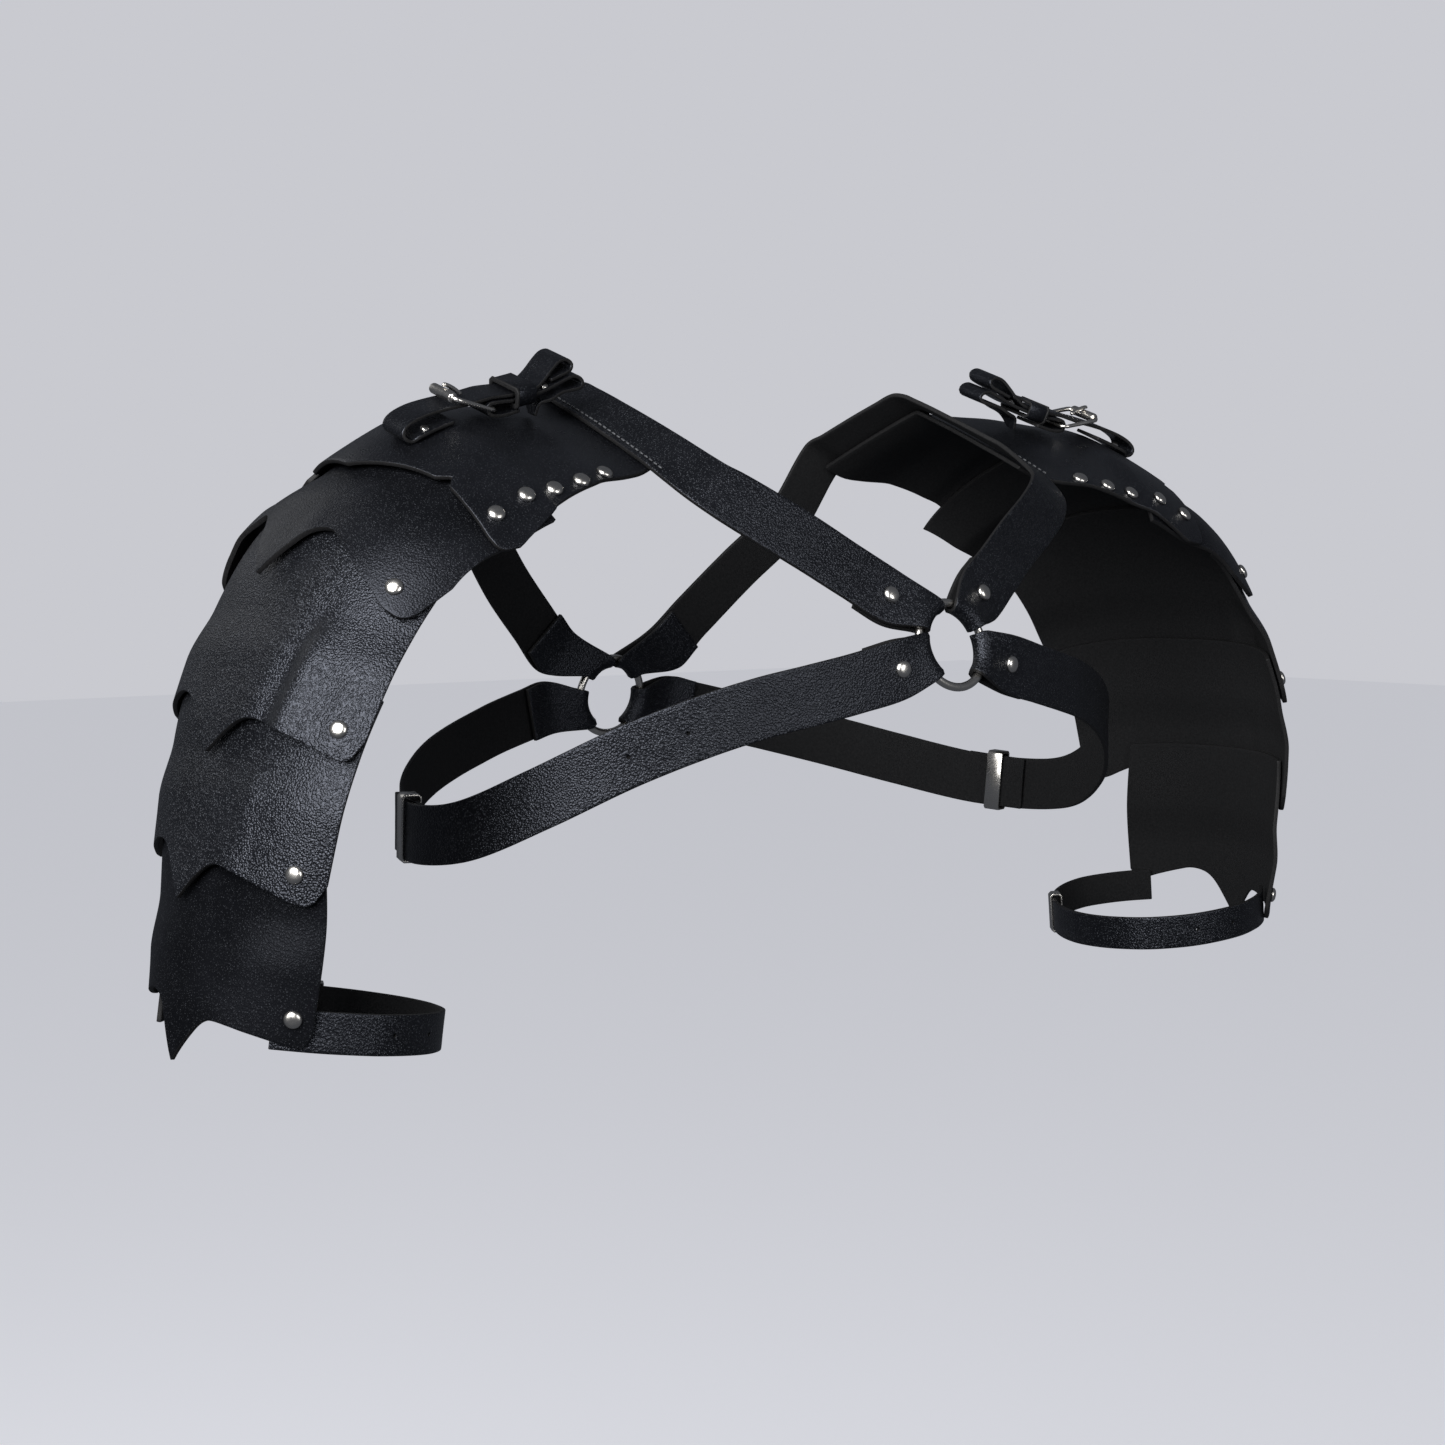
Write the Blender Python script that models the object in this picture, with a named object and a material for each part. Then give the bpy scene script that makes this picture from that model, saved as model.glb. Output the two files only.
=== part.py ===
"""Leather shoulder harness: a pair of scalloped pauldrons on chest straps, in the form it has when worn.

Metres, +Z up, the front faces -Y and the wearer's right is -X. The origin lies midway between the neck
straps, at the height of the shoulder crest. Every shape is worked out for the left side and mirrored.
"""

import math
from collections import namedtuple

import bmesh
import bpy
from mathutils import Vector
from mathutils.bvhtree import BVHTree

# Leather
LEATHER = 0.0020
GAP = 0.0005
STRAP_WIDTH = 0.025
ARM_STRAP_WIDTH = 0.016
SHOULDER_STRAP_WIDTH = 0.015
SHOULDER_LEATHER = 0.0016
FOLD_BACK = 0.026

# The shoulder and the arm that the plates lie on
CREST_INNER_X = 0.094
CREST_REACH = 0.212
CREST_DROP = 0.290
SHOULDER_DEPTH = 0.080
SHOULDER_HEIGHT = 0.066
UPRIGHT_RUN = 0.060

# Plates. They run down this share of the crest
PLATES_SHARE = 0.9544
LAME_LENGTH = 0.090
SCALLOP_DEPTH = 0.020
EDGE_LIFT_START = 0.053
EDGE_LIFT_END = 0.038
FLARE = 0.0020

# Torso hoop
CHEST_HALF_WIDTH = 0.182
CHEST_HALF_DEPTH = 0.125
BACK_HALF_DEPTH = 0.112
CHEST_STRAP_TOP = 0.127
CHEST_STRAP_DROP = 0.065
NECK_STRAP_X = 0.1025

# The buckled strap over each shoulder
ARCH_SPAN = 0.110
ARCH_RISE = 0.040
ARCH_LEAN = math.radians(18)
ARCH_AHEAD = 0.0125
ARCH_SLANT = 0.095
ARCH_BASE_Z = -0.0390

# Metalwork
RING_RADIUS = 0.0182
RING_WIRE = 0.0018
FRONT_RING_Z = -0.118
BACK_RING_Z = -0.150
FRONT_RING_LEAN = math.radians(15.5)
BACK_RING_LEAN = math.radians(8)
RIVET_RADIUS = 0.0036
RIVET_HEIGHT = 0.0018
SEAT_PROBES = 16
BUCKLE_WIRE = 0.0011
ROLLER_RADIUS = 0.0022
SLIDE_WIDTH = 0.008
SLIDE_WALL = 0.0012

SIDES = {"right": -1, "left": 1}

# One row for each section of the shoulder, from the neck outwards and down the arm. out and down place its
# crest, as shares of CREST_REACH and CREST_DROP; forward and depth are shares of SHOULDER_DEPTH, height of
# SHOULDER_HEIGHT, and roundness is the exponent of the section's curve (2 is an ellipse, less is a ridge).
Section = namedtuple("Section", "out down forward depth height roundness")
SECTIONS = (
    Section(-0.035, 0.0265, -0.15, 1.00, 0.46, 1.05),
    Section(0.010, 0.043, -0.15, 1.00, 0.47, 1.05),
    Section(0.060, 0.057, -0.14, 1.00, 0.50, 1.05),
    Section(0.110, 0.064, -0.12, 1.00, 0.54, 1.06),
    Section(0.160, 0.066, -0.09, 1.00, 0.57, 1.12),
    Section(0.264, 0.070, -0.04, 1.00, 0.635, 1.30),
    Section(0.439, 0.092, 0.02, 0.99, 0.82, 1.52),
    Section(0.571, 0.150, 0.06, 0.98, 0.89, 1.80),
    Section(0.689, 0.224, 0.09, 0.98, 0.95, 2.25),
    Section(0.772, 0.303, 0.11, 0.98, 1.00, 2.40),
    Section(0.844, 0.421, 0.13, 0.99, 1.00, 2.70),
    Section(0.897, 0.541, 0.16, 0.96, 0.98, 2.80),
    Section(0.955, 0.734, 0.14, 0.88, 0.95, 2.20),
    Section(0.991, 0.924, 0.115, 0.67, 0.83, 2.00),
    Section(1.000, 1.000, 0.11, 0.66, 0.81, 2.00),
)

# The lower edge of a plate, from its middle tip (0) to its side (1): how far each place hangs below the
# arch, as a share of the tip's depth up to the arch, and of the corner's depth beyond it.
EdgePoint = namedtuple("EdgePoint", "across hang")
EDGE = (
    EdgePoint(0.00, 1.00),
    EdgePoint(0.10, 0.52),
    EdgePoint(0.21, 0.10),
    EdgePoint(0.31, 0.00),
    EdgePoint(0.42, 0.14),
    EdgePoint(0.53, 0.34),
    EdgePoint(0.63, 0.52),
    EdgePoint(0.75, 0.75),
    EdgePoint(0.87, 0.98),
    EdgePoint(0.95, 0.92),
    EdgePoint(1.00, 0.10),
)
ARCH = 3
LOBE = 8

# tip is the run of a plate's tip along the crest as a share of PLATES_LENGTH, length is a share of
# LAME_LENGTH, and both hangs are shares of SCALLOP_DEPTH. The turns are in degrees: 0 is straight ahead, 90
# is outwards. arch is the place of the arch between the tip (0) and the side (1), lobe that of the lowest
# place of the corner. back_rise is how much higher the back of the edge runs, as a share of SCALLOP_DEPTH.
Plate = namedtuple(
    "Plate", "name tip length tip_turn front_top front_foot arch lobe tip_hang corner_hang back_rise"
)
PLATES = (
    Plate("yoke", 0.3545, 1.378, 87.0, 32.0, 20.0, 0.50, 0.87, 0.35, 0.55, 0.0),
    Plate("lame_1", 0.500, 1.022, 93.0, 21.0, 27.0, 0.31, 0.80, 1.10, 1.40, 0.65),
    Plate("lame_2", 0.689, 1.200, 93.0, 27.0, 33.0, 0.31, 0.87, 0.725, 0.50, 0.55),
    Plate("lame_3", 0.839, 0.978, 93.0, 31.0, 38.0, 0.31, 0.83, 0.75, 0.475, 0.45),
    Plate("lame_4", 1.000, 1.022, 84.0, 40.0, 28.0, 0.31, 0.88, 0.875, 0.30, 0.45),
)

# The rows of a plate above its raised foot, as shares from its top
YOKE_STEPS = (0.0, 0.10, 0.19, 0.28, 0.42, 0.66, 1.0)
LAME_STEPS = (0.0, 0.5, 1.0)

# Folds worn into the lower half of a plate: a ridge at an across share, with its breadth as a share too and
# its height as a share of LEATHER.
Fold = namedtuple("Fold", "plate across breadth height")
FOLDS = (
    Fold("lame_2", -0.75, 0.13, 0.90),
    Fold("lame_3", -0.42, 0.12, 0.40),
    Fold("lame_1", 0.53, 0.12, 0.50),
    Fold("lame_1", 0.80, 0.55, 1.60),
)

# Yoke rivets and the rivet of each lame. out is a share of CREST_REACH, ahead of SHOULDER_DEPTH.
Stud = namedtuple("Stud", "out ahead")
YOKE_STUDS = (
    Stud(0.212, 0.78),
    Stud(0.278, 0.825),
    Stud(0.346, 0.84),
    Stud(0.418, 0.855),
    Stud(0.490, 0.87),
)
LAME_STUD_INSET = 0.02
LAME_STUD_RISE = 0.011

# The strap from the front ring up the chest, and from the shoulder down the back. out is a share of
# NECK_STRAP_X, ahead of the chest's half depth (the back's where it is below 0) and down of the front ring's
# depth; the last three columns are the way that it faces.
Station = namedtuple("Station", "out ahead down face_out face_ahead face_up")
NECK_FRONT = (
    Station(0.244, 0.904, 0.831, 0.12, 0.93, 0.34),
    Station(0.420, 0.852, 0.737, 0.15, 0.94, 0.30),
    Station(0.600, 0.800, 0.637, 0.17, 0.94, 0.28),
    Station(0.770, 0.756, 0.550, 0.20, 0.93, 0.30),
    Station(0.905, 0.704, 0.475, 0.28, 0.86, 0.42),
    Station(0.975, 0.640, 0.418, 0.38, 0.65, 0.65),
)
NECK_BACK = (
    Station(0.900, -0.8036, 0.560, 0.30, -0.80, 0.50),
    Station(0.700, -0.9152, 0.760, 0.20, -0.93, 0.32),
    Station(0.470, -0.9821, 0.960, 0.12, -0.97, 0.20),
    Station(0.310, -1.0100, 1.090, 0.06, -0.98, 0.15),
)
# Where it rests on the yoke: shares of SHOULDER_DEPTH towards the front
NECK_RESTS = (0.70, 0.56, 0.42, 0.28, 0.14, 0.06, -0.02, -0.10, -0.18, -0.32, -0.48, -0.64, -0.79, -0.93)

# The hoop round the chest: the angle from the front in degrees, and its fall as a share of CHEST_STRAP_DROP
Hoop = namedtuple("Hoop", "angle fall")
HOOP = (
    Hoop(10.0, 0.00),
    Hoop(17.0, 0.08),
    Hoop(24.0, 0.15),
    Hoop(31.0, 0.22),
    Hoop(40.0, 0.34),
    Hoop(51.0, 0.52),
    Hoop(65.0, 0.78),
    Hoop(80.0, 1.00),
    Hoop(95.0, 1.06),
    Hoop(110.0, 1.02),
    Hoop(125.0, 0.90),
    Hoop(140.0, 0.74),
    Hoop(155.0, 0.57),
    Hoop(164.0, 0.47),
    Hoop(169.0, 0.42),
)
HOOP_MEETS_FIRST = 8
HOOP_MEETS_LAST = 9

# The arch strap's two leathers and its buckle: out is a share of ARCH_SPAN from the neck strap's middle, up
# is a share of ARCH_RISE above the lowest point of the strap.
Bend = namedtuple("Bend", "out up")
CHAPE = (
    Bend(0.335, 0.560),
    Bend(0.285, 0.630),
    Bend(0.235, 0.700),
    Bend(0.180, 0.735),
    Bend(0.142, 0.760),
    Bend(0.130, 0.800),
    Bend(0.142, 0.845),
    Bend(0.175, 0.868),
    Bend(0.215, 0.830),
    Bend(0.261, 0.775),
    Bend(0.323, 0.705),
    Bend(0.390, 0.650),
    Bend(0.485, 0.590),
    Bend(0.530, 0.575),
)
BILLET = (
    Bend(0.955, 0.150),
    Bend(0.985, 0.165),
    Bend(1.000, 0.215),
    Bend(0.990, 0.280),
    Bend(0.950, 0.355),
    Bend(0.880, 0.430),
    Bend(0.768, 0.505),
    Bend(0.690, 0.545),
    Bend(0.625, 0.590),
    Bend(0.577, 0.622),
    Bend(0.485, 0.655),
    Bend(0.375, 0.722),
    Bend(0.330, 0.810),
    Bend(0.285, 0.935),
    Bend(0.250, 1.015),
    Bend(0.215, 1.040),
    Bend(0.185, 1.000),
    Bend(0.188, 0.940),
    Bend(0.215, 0.898),
    Bend(0.260, 0.848),
    Bend(0.290, 0.815),
)
TONGUE_ROOT = 7
# Where they lie on the yoke, and on how many leathers
Rest = namedtuple("Rest", "out layers")
CHAPE_RESTS = (Rest(0.380, 0.75),)
BILLET_RESTS = (Rest(0.760, 0.75), Rest(0.830, 0.80), Rest(0.900, 0.95))
# The arm strap's turns round the arm, from under the front of lame 4 by the inner side to under its back,
# and how far it stands from the arm's middle as a share of the section
ArmTurn = namedtuple("ArmTurn", "turn reach")
ARM_TURNS = (
    ArmTurn(46, 1.00),
    ArmTurn(32, 1.00),
    ArmTurn(18, 1.00),
    ArmTurn(0, 1.00),
    ArmTurn(-22, 0.97),
    ArmTurn(-45, 0.92),
    ArmTurn(-68, 0.85),
    ArmTurn(-90, 0.80),
    ArmTurn(-112, 0.76),
    ArmTurn(-135, 0.76),
    ArmTurn(-158, 0.82),
    ArmTurn(-180, 0.92),
    ArmTurn(-194, 0.99),
    ArmTurn(-206, 1.00),
    ArmTurn(-219, 1.00),
    ArmTurn(-232, 1.00),
)
ARM_STRAP_RUN = 0.955
ARM_BUCKLE = 9
HEEL_BAR = Bend(0.577, 0.500)
CHAPE_UNDER = ((0.05, 0.055), (0.13, 0.0))
ROLLER_BAR = Bend(0.768, 0.600)
KEEPER = Bend(0.430, 0.654)
KEEPER_SLOPE = -0.66


def clear_scene():
    for item in list(bpy.data.objects):
        bpy.data.objects.remove(item, do_unlink=True)


def material(name, colour, roughness, metallic=0.0):
    made = bpy.data.materials.new(name)
    made.use_nodes = True
    shader = made.node_tree.nodes["Principled BSDF"]
    shader.inputs["Base Color"].default_value = (*colour, 1.0)
    shader.inputs["Roughness"].default_value = roughness
    shader.inputs["Metallic"].default_value = metallic
    return made


def add_object(name, mesh, finish):
    mesh.materials.append(finish)
    made = bpy.data.objects.new(name, mesh)
    bpy.context.scene.collection.objects.link(made)
    return made


def smooth_step(share):
    share = min(1.0, max(0.0, share))
    return share * share * (3.0 - 2.0 * share)


def curve_through(values, knots, place):
    """Catmull-Rom value at a place among rising knots."""
    last = len(knots) - 2
    index = 0
    while index < last and place > knots[index + 1]:
        index += 1
    before = max(0, index - 1)
    after = min(len(knots) - 1, index + 2)
    span = knots[index + 1] - knots[index]
    share = min(1.25, max(-0.25, (place - knots[index]) / span))
    leave = (values[index + 1] - values[before]) / (knots[index + 1] - knots[before]) * span
    arrive = (values[after] - values[index]) / (knots[after] - knots[index]) * span
    cube, square = share**3, share**2
    return (
        values[index] * (2 * cube - 3 * square + 1)
        + leave * (cube - 2 * square + share)
        + values[index + 1] * (3 * square - 2 * cube)
        + arrive * (cube - square)
    )


def crest_points():
    return [Vector((CREST_INNER_X + row.out * CREST_REACH, 0.0, -row.down * CREST_DROP)) for row in SECTIONS]


def crest_runs():
    points = crest_points()
    runs = [0.0]
    for first, second in zip(points, points[1:]):
        runs.append(runs[-1] + (second - first).length)
    return [run - runs[1] for run in runs]


RUNS = crest_runs()
PLATES_LENGTH = PLATES_SHARE * RUNS[-1]
YOKE_END = 0.60 * RUNS[-1]
CREST_X = [point.x for point in crest_points()]
CREST_Z = [point.z for point in crest_points()]


def section_at(run):
    return Section(*(curve_through([row[field] for row in SECTIONS], RUNS, run) for field in range(6)))


def shoulder_point(run, turn):
    """A point round the left shoulder, run metres along the crest: turn 0 is the front, 180 the back."""
    step = 0.001
    crest = Vector((curve_through(CREST_X, RUNS, run), 0.0, curve_through(CREST_Z, RUNS, run)))
    onward = run + step
    ahead = Vector((curve_through(CREST_X, RUNS, onward), 0.0, curve_through(CREST_Z, RUNS, onward)))
    along = (ahead - crest).normalized()
    upright, square = Vector((0.0, 0.0, 1.0)), Vector((-along.z, 0.0, along.x))
    outward = upright.lerp(square, smooth_step(run / UPRIGHT_RUN)).normalized()
    section = section_at(run)
    cosine = math.cos(math.radians(turn))
    across = min(0.9999, abs(cosine))
    rise = (1.0 - across**section.roundness) ** (1.0 / section.roundness)
    rise = math.copysign(rise, math.sin(math.radians(turn)))
    place = crest + outward * (section.height * SHOULDER_HEIGHT * (rise - 1.0))
    place.y = -SHOULDER_DEPTH * (section.forward + section.depth * math.copysign(across, cosine))
    return place


def shoulder_normal(run, turn):
    run_step, turn_step = 0.002, 1.5
    down = shoulder_point(run + run_step, turn) - shoulder_point(run - run_step, turn)
    back = shoulder_point(run, turn + turn_step) - shoulder_point(run, turn - turn_step)
    return down.cross(back).normalized()


def lifted(run, turn, lift):
    return shoulder_point(run, turn) + shoulder_normal(run, turn) * lift


def turn_at(run, y):
    """The turn at which the shoulder's upper surface passes a depth."""
    section = section_at(run)
    cosine = (-y / SHOULDER_DEPTH - section.forward) / section.depth
    return math.degrees(math.acos(min(0.98, max(-0.98, cosine))))


def spot_at(x, y):
    """The run and turn of the shoulder's surface at a place seen from above."""
    low, high = RUNS[0], YOKE_END
    for _ in range(24):
        run = (low + high) / 2
        if shoulder_point(run, turn_at(run, y)).x < x:
            low = run
        else:
            high = run
    return run, turn_at(run, y)


def sheet(name, rows, side, thickness, finish, offset=1.0, closed=False):
    """A leather wall grown from a grid of points of the left side, outwards unless offset says otherwise."""
    work = bmesh.new()
    mirror = Vector((side, 1, 1))
    grid = [[work.verts.new(point * mirror) for point in row] for row in rows]
    pairs = list(zip(grid, grid[1:]))
    if closed:
        pairs.append((grid[-1], grid[0]))
    for upper, lower in pairs:
        for left in range(len(upper) - 1):
            corners = (upper[left], upper[left + 1], lower[left + 1], lower[left])
            work.faces.new(corners if side < 0 else tuple(reversed(corners)))
    mesh = bpy.data.meshes.new(name)
    work.to_mesh(mesh)
    work.free()
    mesh.shade_smooth()
    made = add_object(name, mesh, finish)
    wall = made.modifiers.new("Leather wall", "SOLIDIFY")
    wall.thickness = thickness
    wall.offset = offset
    return made


def tube(name, centres, radii, sides, side, finish, closed):
    """A round bar swept along points given for the left side, with a radius for each point."""
    work = bmesh.new()
    mirror = Vector((side, 1, 1))
    count = len(centres)
    rings = []
    previous = None
    for index, centre in enumerate(centres):
        behind = centres[index - 1] if closed or index else centre
        ahead = centres[(index + 1) % count] if closed or index + 1 < count else centre
        along = (ahead - behind).normalized()
        if previous is None:
            previous = along.orthogonal()
        first = (previous - along * previous.dot(along)).normalized()
        second = along.cross(first)
        previous = first
        turns = [2 * math.pi * step / sides for step in range(sides)]
        spokes = [first * math.cos(turn) + second * math.sin(turn) for turn in turns]
        rings.append([work.verts.new((centre + spoke * radii[index]) * mirror) for spoke in spokes])
    pairs = list(zip(rings, rings[1:]))
    if closed:
        pairs.append((rings[-1], rings[0]))
    else:
        work.faces.new(rings[0])
        work.faces.new(rings[-1])
    for one, other in pairs:
        for step in range(sides):
            following = (step + 1) % sides
            work.faces.new((one[step], one[following], other[following], other[step]))
    bmesh.ops.recalc_face_normals(work, faces=work.faces)
    mesh = bpy.data.meshes.new(name)
    work.to_mesh(mesh)
    work.free()
    mesh.shade_smooth()
    return add_object(name, mesh, finish)


def rivet(name, place, facing, side, finish):
    """A domed rivet head that stands just clear of the leather."""
    facing = facing.normalized()
    first = facing.orthogonal().normalized()
    second = facing.cross(first)
    sides = 8
    work = bmesh.new()
    mirror = Vector((side, 1, 1))
    rings = []
    for radius, height in ((1.0, 0.0), (0.93, 0.45), (0.5, 0.9)):
        level = place + facing * (GAP * 0.8 + height * RIVET_HEIGHT)
        turns = [2 * math.pi * step / sides for step in range(sides)]
        spokes = [first * math.cos(turn) + second * math.sin(turn) for turn in turns]
        rings.append([work.verts.new((level + spoke * radius * RIVET_RADIUS) * mirror) for spoke in spokes])
    work.faces.new(rings[0])
    work.faces.new(rings[-1])
    for one, other in zip(rings, rings[1:]):
        for step in range(sides):
            following = (step + 1) % sides
            work.faces.new((one[step], one[following], other[following], other[step]))
    bmesh.ops.recalc_face_normals(work, faces=work.faces)
    mesh = bpy.data.meshes.new(name)
    work.to_mesh(mesh)
    work.free()
    mesh.shade_smooth()
    return add_object(name, mesh, finish)


def plate_edge(plate, index, back):
    """The run of the lower edge at a place of the EDGE table."""
    depth = plate.tip_hang if index <= ARCH else plate.corner_hang
    rise = plate.back_rise * smooth_step(2 * plate_across(plate, index)) if back else 0.0
    return plate.tip * PLATES_LENGTH + SCALLOP_DEPTH * (depth * EDGE[index].hang - plate.tip_hang - rise)


def plate_across(plate, index):
    """The share from the tip (0) to the side (1) of a place of the EDGE table, by the plate's own arch."""
    across, arch, lobe = EDGE[index].across, EDGE[ARCH].across, EDGE[LOBE].across
    if index <= ARCH:
        return across / arch * plate.arch
    if index <= LOBE:
        return plate.arch + (across - arch) / (lobe - arch) * (plate.lobe - plate.arch)
    return plate.lobe + (across - lobe) / (1.0 - lobe) * (1.0 - plate.lobe)


def plate_top(plate):
    return plate.tip * PLATES_LENGTH - plate.length * LAME_LENGTH


def plate_reach(plate, run):
    share = (run - plate_top(plate)) / (plate.length * LAME_LENGTH)
    return plate.tip_turn - (plate.front_top + (plate.front_foot - plate.front_top) * share)


def plate_turn(plate, across, run):
    """The turn of a column: across goes from -1 at the front edge to 0 at the tip and 1 at the back edge."""
    return plate.tip_turn + across * plate_reach(plate, run)


def turn_share(plate, turn, run):
    return (turn - plate.tip_turn) / plate_reach(plate, run)


def plate_lift(plate, across, run):
    """The height of a plate's inner face: tucked in at its top, then over the next plate, then flared."""
    above_tip = plate.tip * PLATES_LENGTH - run
    over_next = smooth_step((EDGE_LIFT_START - above_tip) / (EDGE_LIFT_START - EDGE_LIFT_END))
    flare = smooth_step((EDGE_LIFT_END - above_tip) / EDGE_LIFT_END) * (1.0 - across * across)
    lift = over_next * (LEATHER + 1.9 * GAP) + FLARE * flare
    for fold in FOLDS:
        if fold.plate == plate.name:
            ridge = max(0.0, 1.0 - abs(across - fold.across) / fold.breadth)
            lift += smooth_step(ridge) * over_next * fold.height * LEATHER
    return lift


def plate_columns(plate):
    """Pairs of an across share and the run of the lower edge there, from the front to the back."""
    places = range(len(EDGE))
    front = [(-plate_across(plate, index), plate_edge(plate, index, False)) for index in reversed(places)]
    return front + [(plate_across(plate, index), plate_edge(plate, index, True)) for index in places[1:]]


def plate_rows(plate):
    columns = plate_columns(plate)
    top = plate_top(plate)
    raised = plate.tip * PLATES_LENGTH - EDGE_LIFT_END
    start = plate.tip * PLATES_LENGTH - EDGE_LIFT_START
    steps = YOKE_STEPS if plate is PLATES[0] else LAME_STEPS
    runs = [top + (start - top) * step for step in steps] + [raised]
    rows = [[(run, across) for across, _ in columns] for run in runs]
    for share in (0.5, 1.0):
        rows.append([(raised + (edge - raised) * share, across) for across, edge in columns])
    return rows


def make_plate(plate, side_name, finish):
    rows = [
        [lifted(run, plate_turn(plate, across, run), plate_lift(plate, across, run)) for run, across in row]
        for row in plate_rows(plate)
    ]
    return sheet(f"{plate.name}_{side_name}", rows, SIDES[side_name], LEATHER, finish)


def seated(place, facing, plate, side):
    """A place on a plate's inner face, moved out to where its outer face is highest round a rivet."""
    mirror = Vector((side, 1, 1))
    corners = [vert.co for vert in plate.data.vertices]
    surface = BVHTree.FromPolygons(corners, [face.vertices for face in plate.data.polygons])
    facing = facing.normalized()
    first = facing.orthogonal().normalized()
    second = facing.cross(first)
    heights = []
    for step in range(SEAT_PROBES):
        turn = 2 * math.pi * step / SEAT_PROBES
        spot = place + (first * math.cos(turn) + second * math.sin(turn)) * RIVET_RADIUS
        hit = surface.ray_cast((spot + facing * RIVET_RADIUS) * mirror, -facing * mirror)[0]
        if hit:
            heights.append((hit * mirror - place).dot(facing))
    return place + facing * (max(heights) + LEATHER)


def make_plate_rivets(side_name, plates, finish):
    side = SIDES[side_name]
    for number, stud in enumerate(YOKE_STUDS, start=1):
        run, turn = spot_at(CREST_INNER_X + stud.out * CREST_REACH, -stud.ahead * SHOULDER_DEPTH)
        lift = plate_lift(PLATES[0], turn_share(PLATES[0], turn, run), run)
        facing = shoulder_normal(run, turn)
        place = seated(lifted(run, turn, lift), facing, plates[0], side)
        rivet(f"yoke_rivet_{number}_{side_name}", place, facing, side, finish)
    for plate in PLATES[1:]:
        run = plate_edge(plate, LOBE, False) - LAME_STUD_RISE
        across = LAME_STUD_INSET - plate.lobe
        turn = plate_turn(plate, across, run)
        place = lifted(run, turn, plate_lift(plate, across, run) + LEATHER)
        rivet(f"{plate.name}_rivet_{side_name}", place, shoulder_normal(run, turn), side, finish)


def ring_frame(front):
    """A ring's centre, its side and up ways in its own plane, and the way that it faces."""
    if front:
        centre = Vector((0.0, -CHEST_HALF_DEPTH + 0.004, FRONT_RING_Z))
        facing = Vector((0.0, -math.cos(FRONT_RING_LEAN), math.sin(FRONT_RING_LEAN)))
    else:
        centre = Vector((0.0, BACK_HALF_DEPTH, BACK_RING_Z))
        facing = Vector((0.0, math.cos(BACK_RING_LEAN), math.sin(BACK_RING_LEAN)))
    sideways = Vector((1.0, 0.0, 0.0))
    upwards = facing.cross(sideways) if front else sideways.cross(facing)
    upwards = upwards if upwards.z > 0 else -upwards
    return centre, sideways, upwards, facing


def fold_rows(front, angle, spread, columns):
    """Rows of the fold round a ring's wire, from its outer face round to its inner one."""
    centre, sideways, upwards, facing = ring_frame(front)
    reach = RING_WIRE + GAP
    rows = []
    for tilt in (90, 135, 180, 225, 270):
        row = []
        for column in range(columns):
            turn = math.radians(angle + spread * (2 * column / (columns - 1) - 1))
            spoke = sideways * math.cos(turn) + upwards * math.sin(turn)
            around = spoke * math.cos(math.radians(tilt)) + facing * math.sin(math.radians(tilt))
            row.append(centre + spoke * RING_RADIUS + around * reach)
        rows.append(row)
    return rows


def strap_rows(places, facings, width, columns, thickness):
    """Rows of a strap's inner face and their normals, from the middle line of its outer face."""
    rows, normals = [], []
    last = len(places) - 1
    for index, place in enumerate(places):
        along = places[min(last, index + 1)] - places[max(0, index - 1)]
        across = facings[index].cross(along).normalized()
        normal = along.cross(across).normalized()
        shares = [column / (columns - 1) - 0.5 for column in range(columns)]
        rows.append([place - normal * thickness + across * (width * share) for share in shares])
        normals.append(normal)
    return rows, normals


def under_rows(rows, normals):
    """The leather folded back beneath the first rows of a strap, and its end row trimmed to FOLD_BACK."""
    made = []
    gone = 0.0
    middle = len(rows[0]) // 2
    for index, (row, normal) in enumerate(zip(rows, normals)):
        below = [point - normal * GAP * 1.6 for point in row]
        if index == 0:
            made.append(below)
            gone += RING_RADIUS * 0.6
            continue
        step = (row[middle] - rows[index - 1][middle]).length
        if gone + step > FOLD_BACK:
            share = (FOLD_BACK - gone) / step
            made.append([old.lerp(new, share) for old, new in zip(made[-1], below)])
            return made
        gone += step
        made.append(below)
    return made


def ring_strap(name, side, rows, normals, finish, starts=None, ends=None):
    """A strap whose ends fold round a ring; starts and ends hold (front ring or not, angle, spread)."""
    columns = len(rows[0])
    whole = list(rows)
    if starts:
        under = list(reversed(under_rows(rows, normals)))
        whole = under + list(reversed(fold_rows(*starts, columns))) + whole
    if ends:
        under = under_rows(list(reversed(rows)), list(reversed(normals)))
        whole = whole + fold_rows(*ends, columns) + under
    sheet(name, whole, side, LEATHER, finish)


def station_place(row):
    half_depth = CHEST_HALF_DEPTH if row.ahead > 0 else BACK_HALF_DEPTH
    return Vector((row.out * NECK_STRAP_X, -row.ahead * half_depth, row.down * FRONT_RING_Z))


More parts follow.
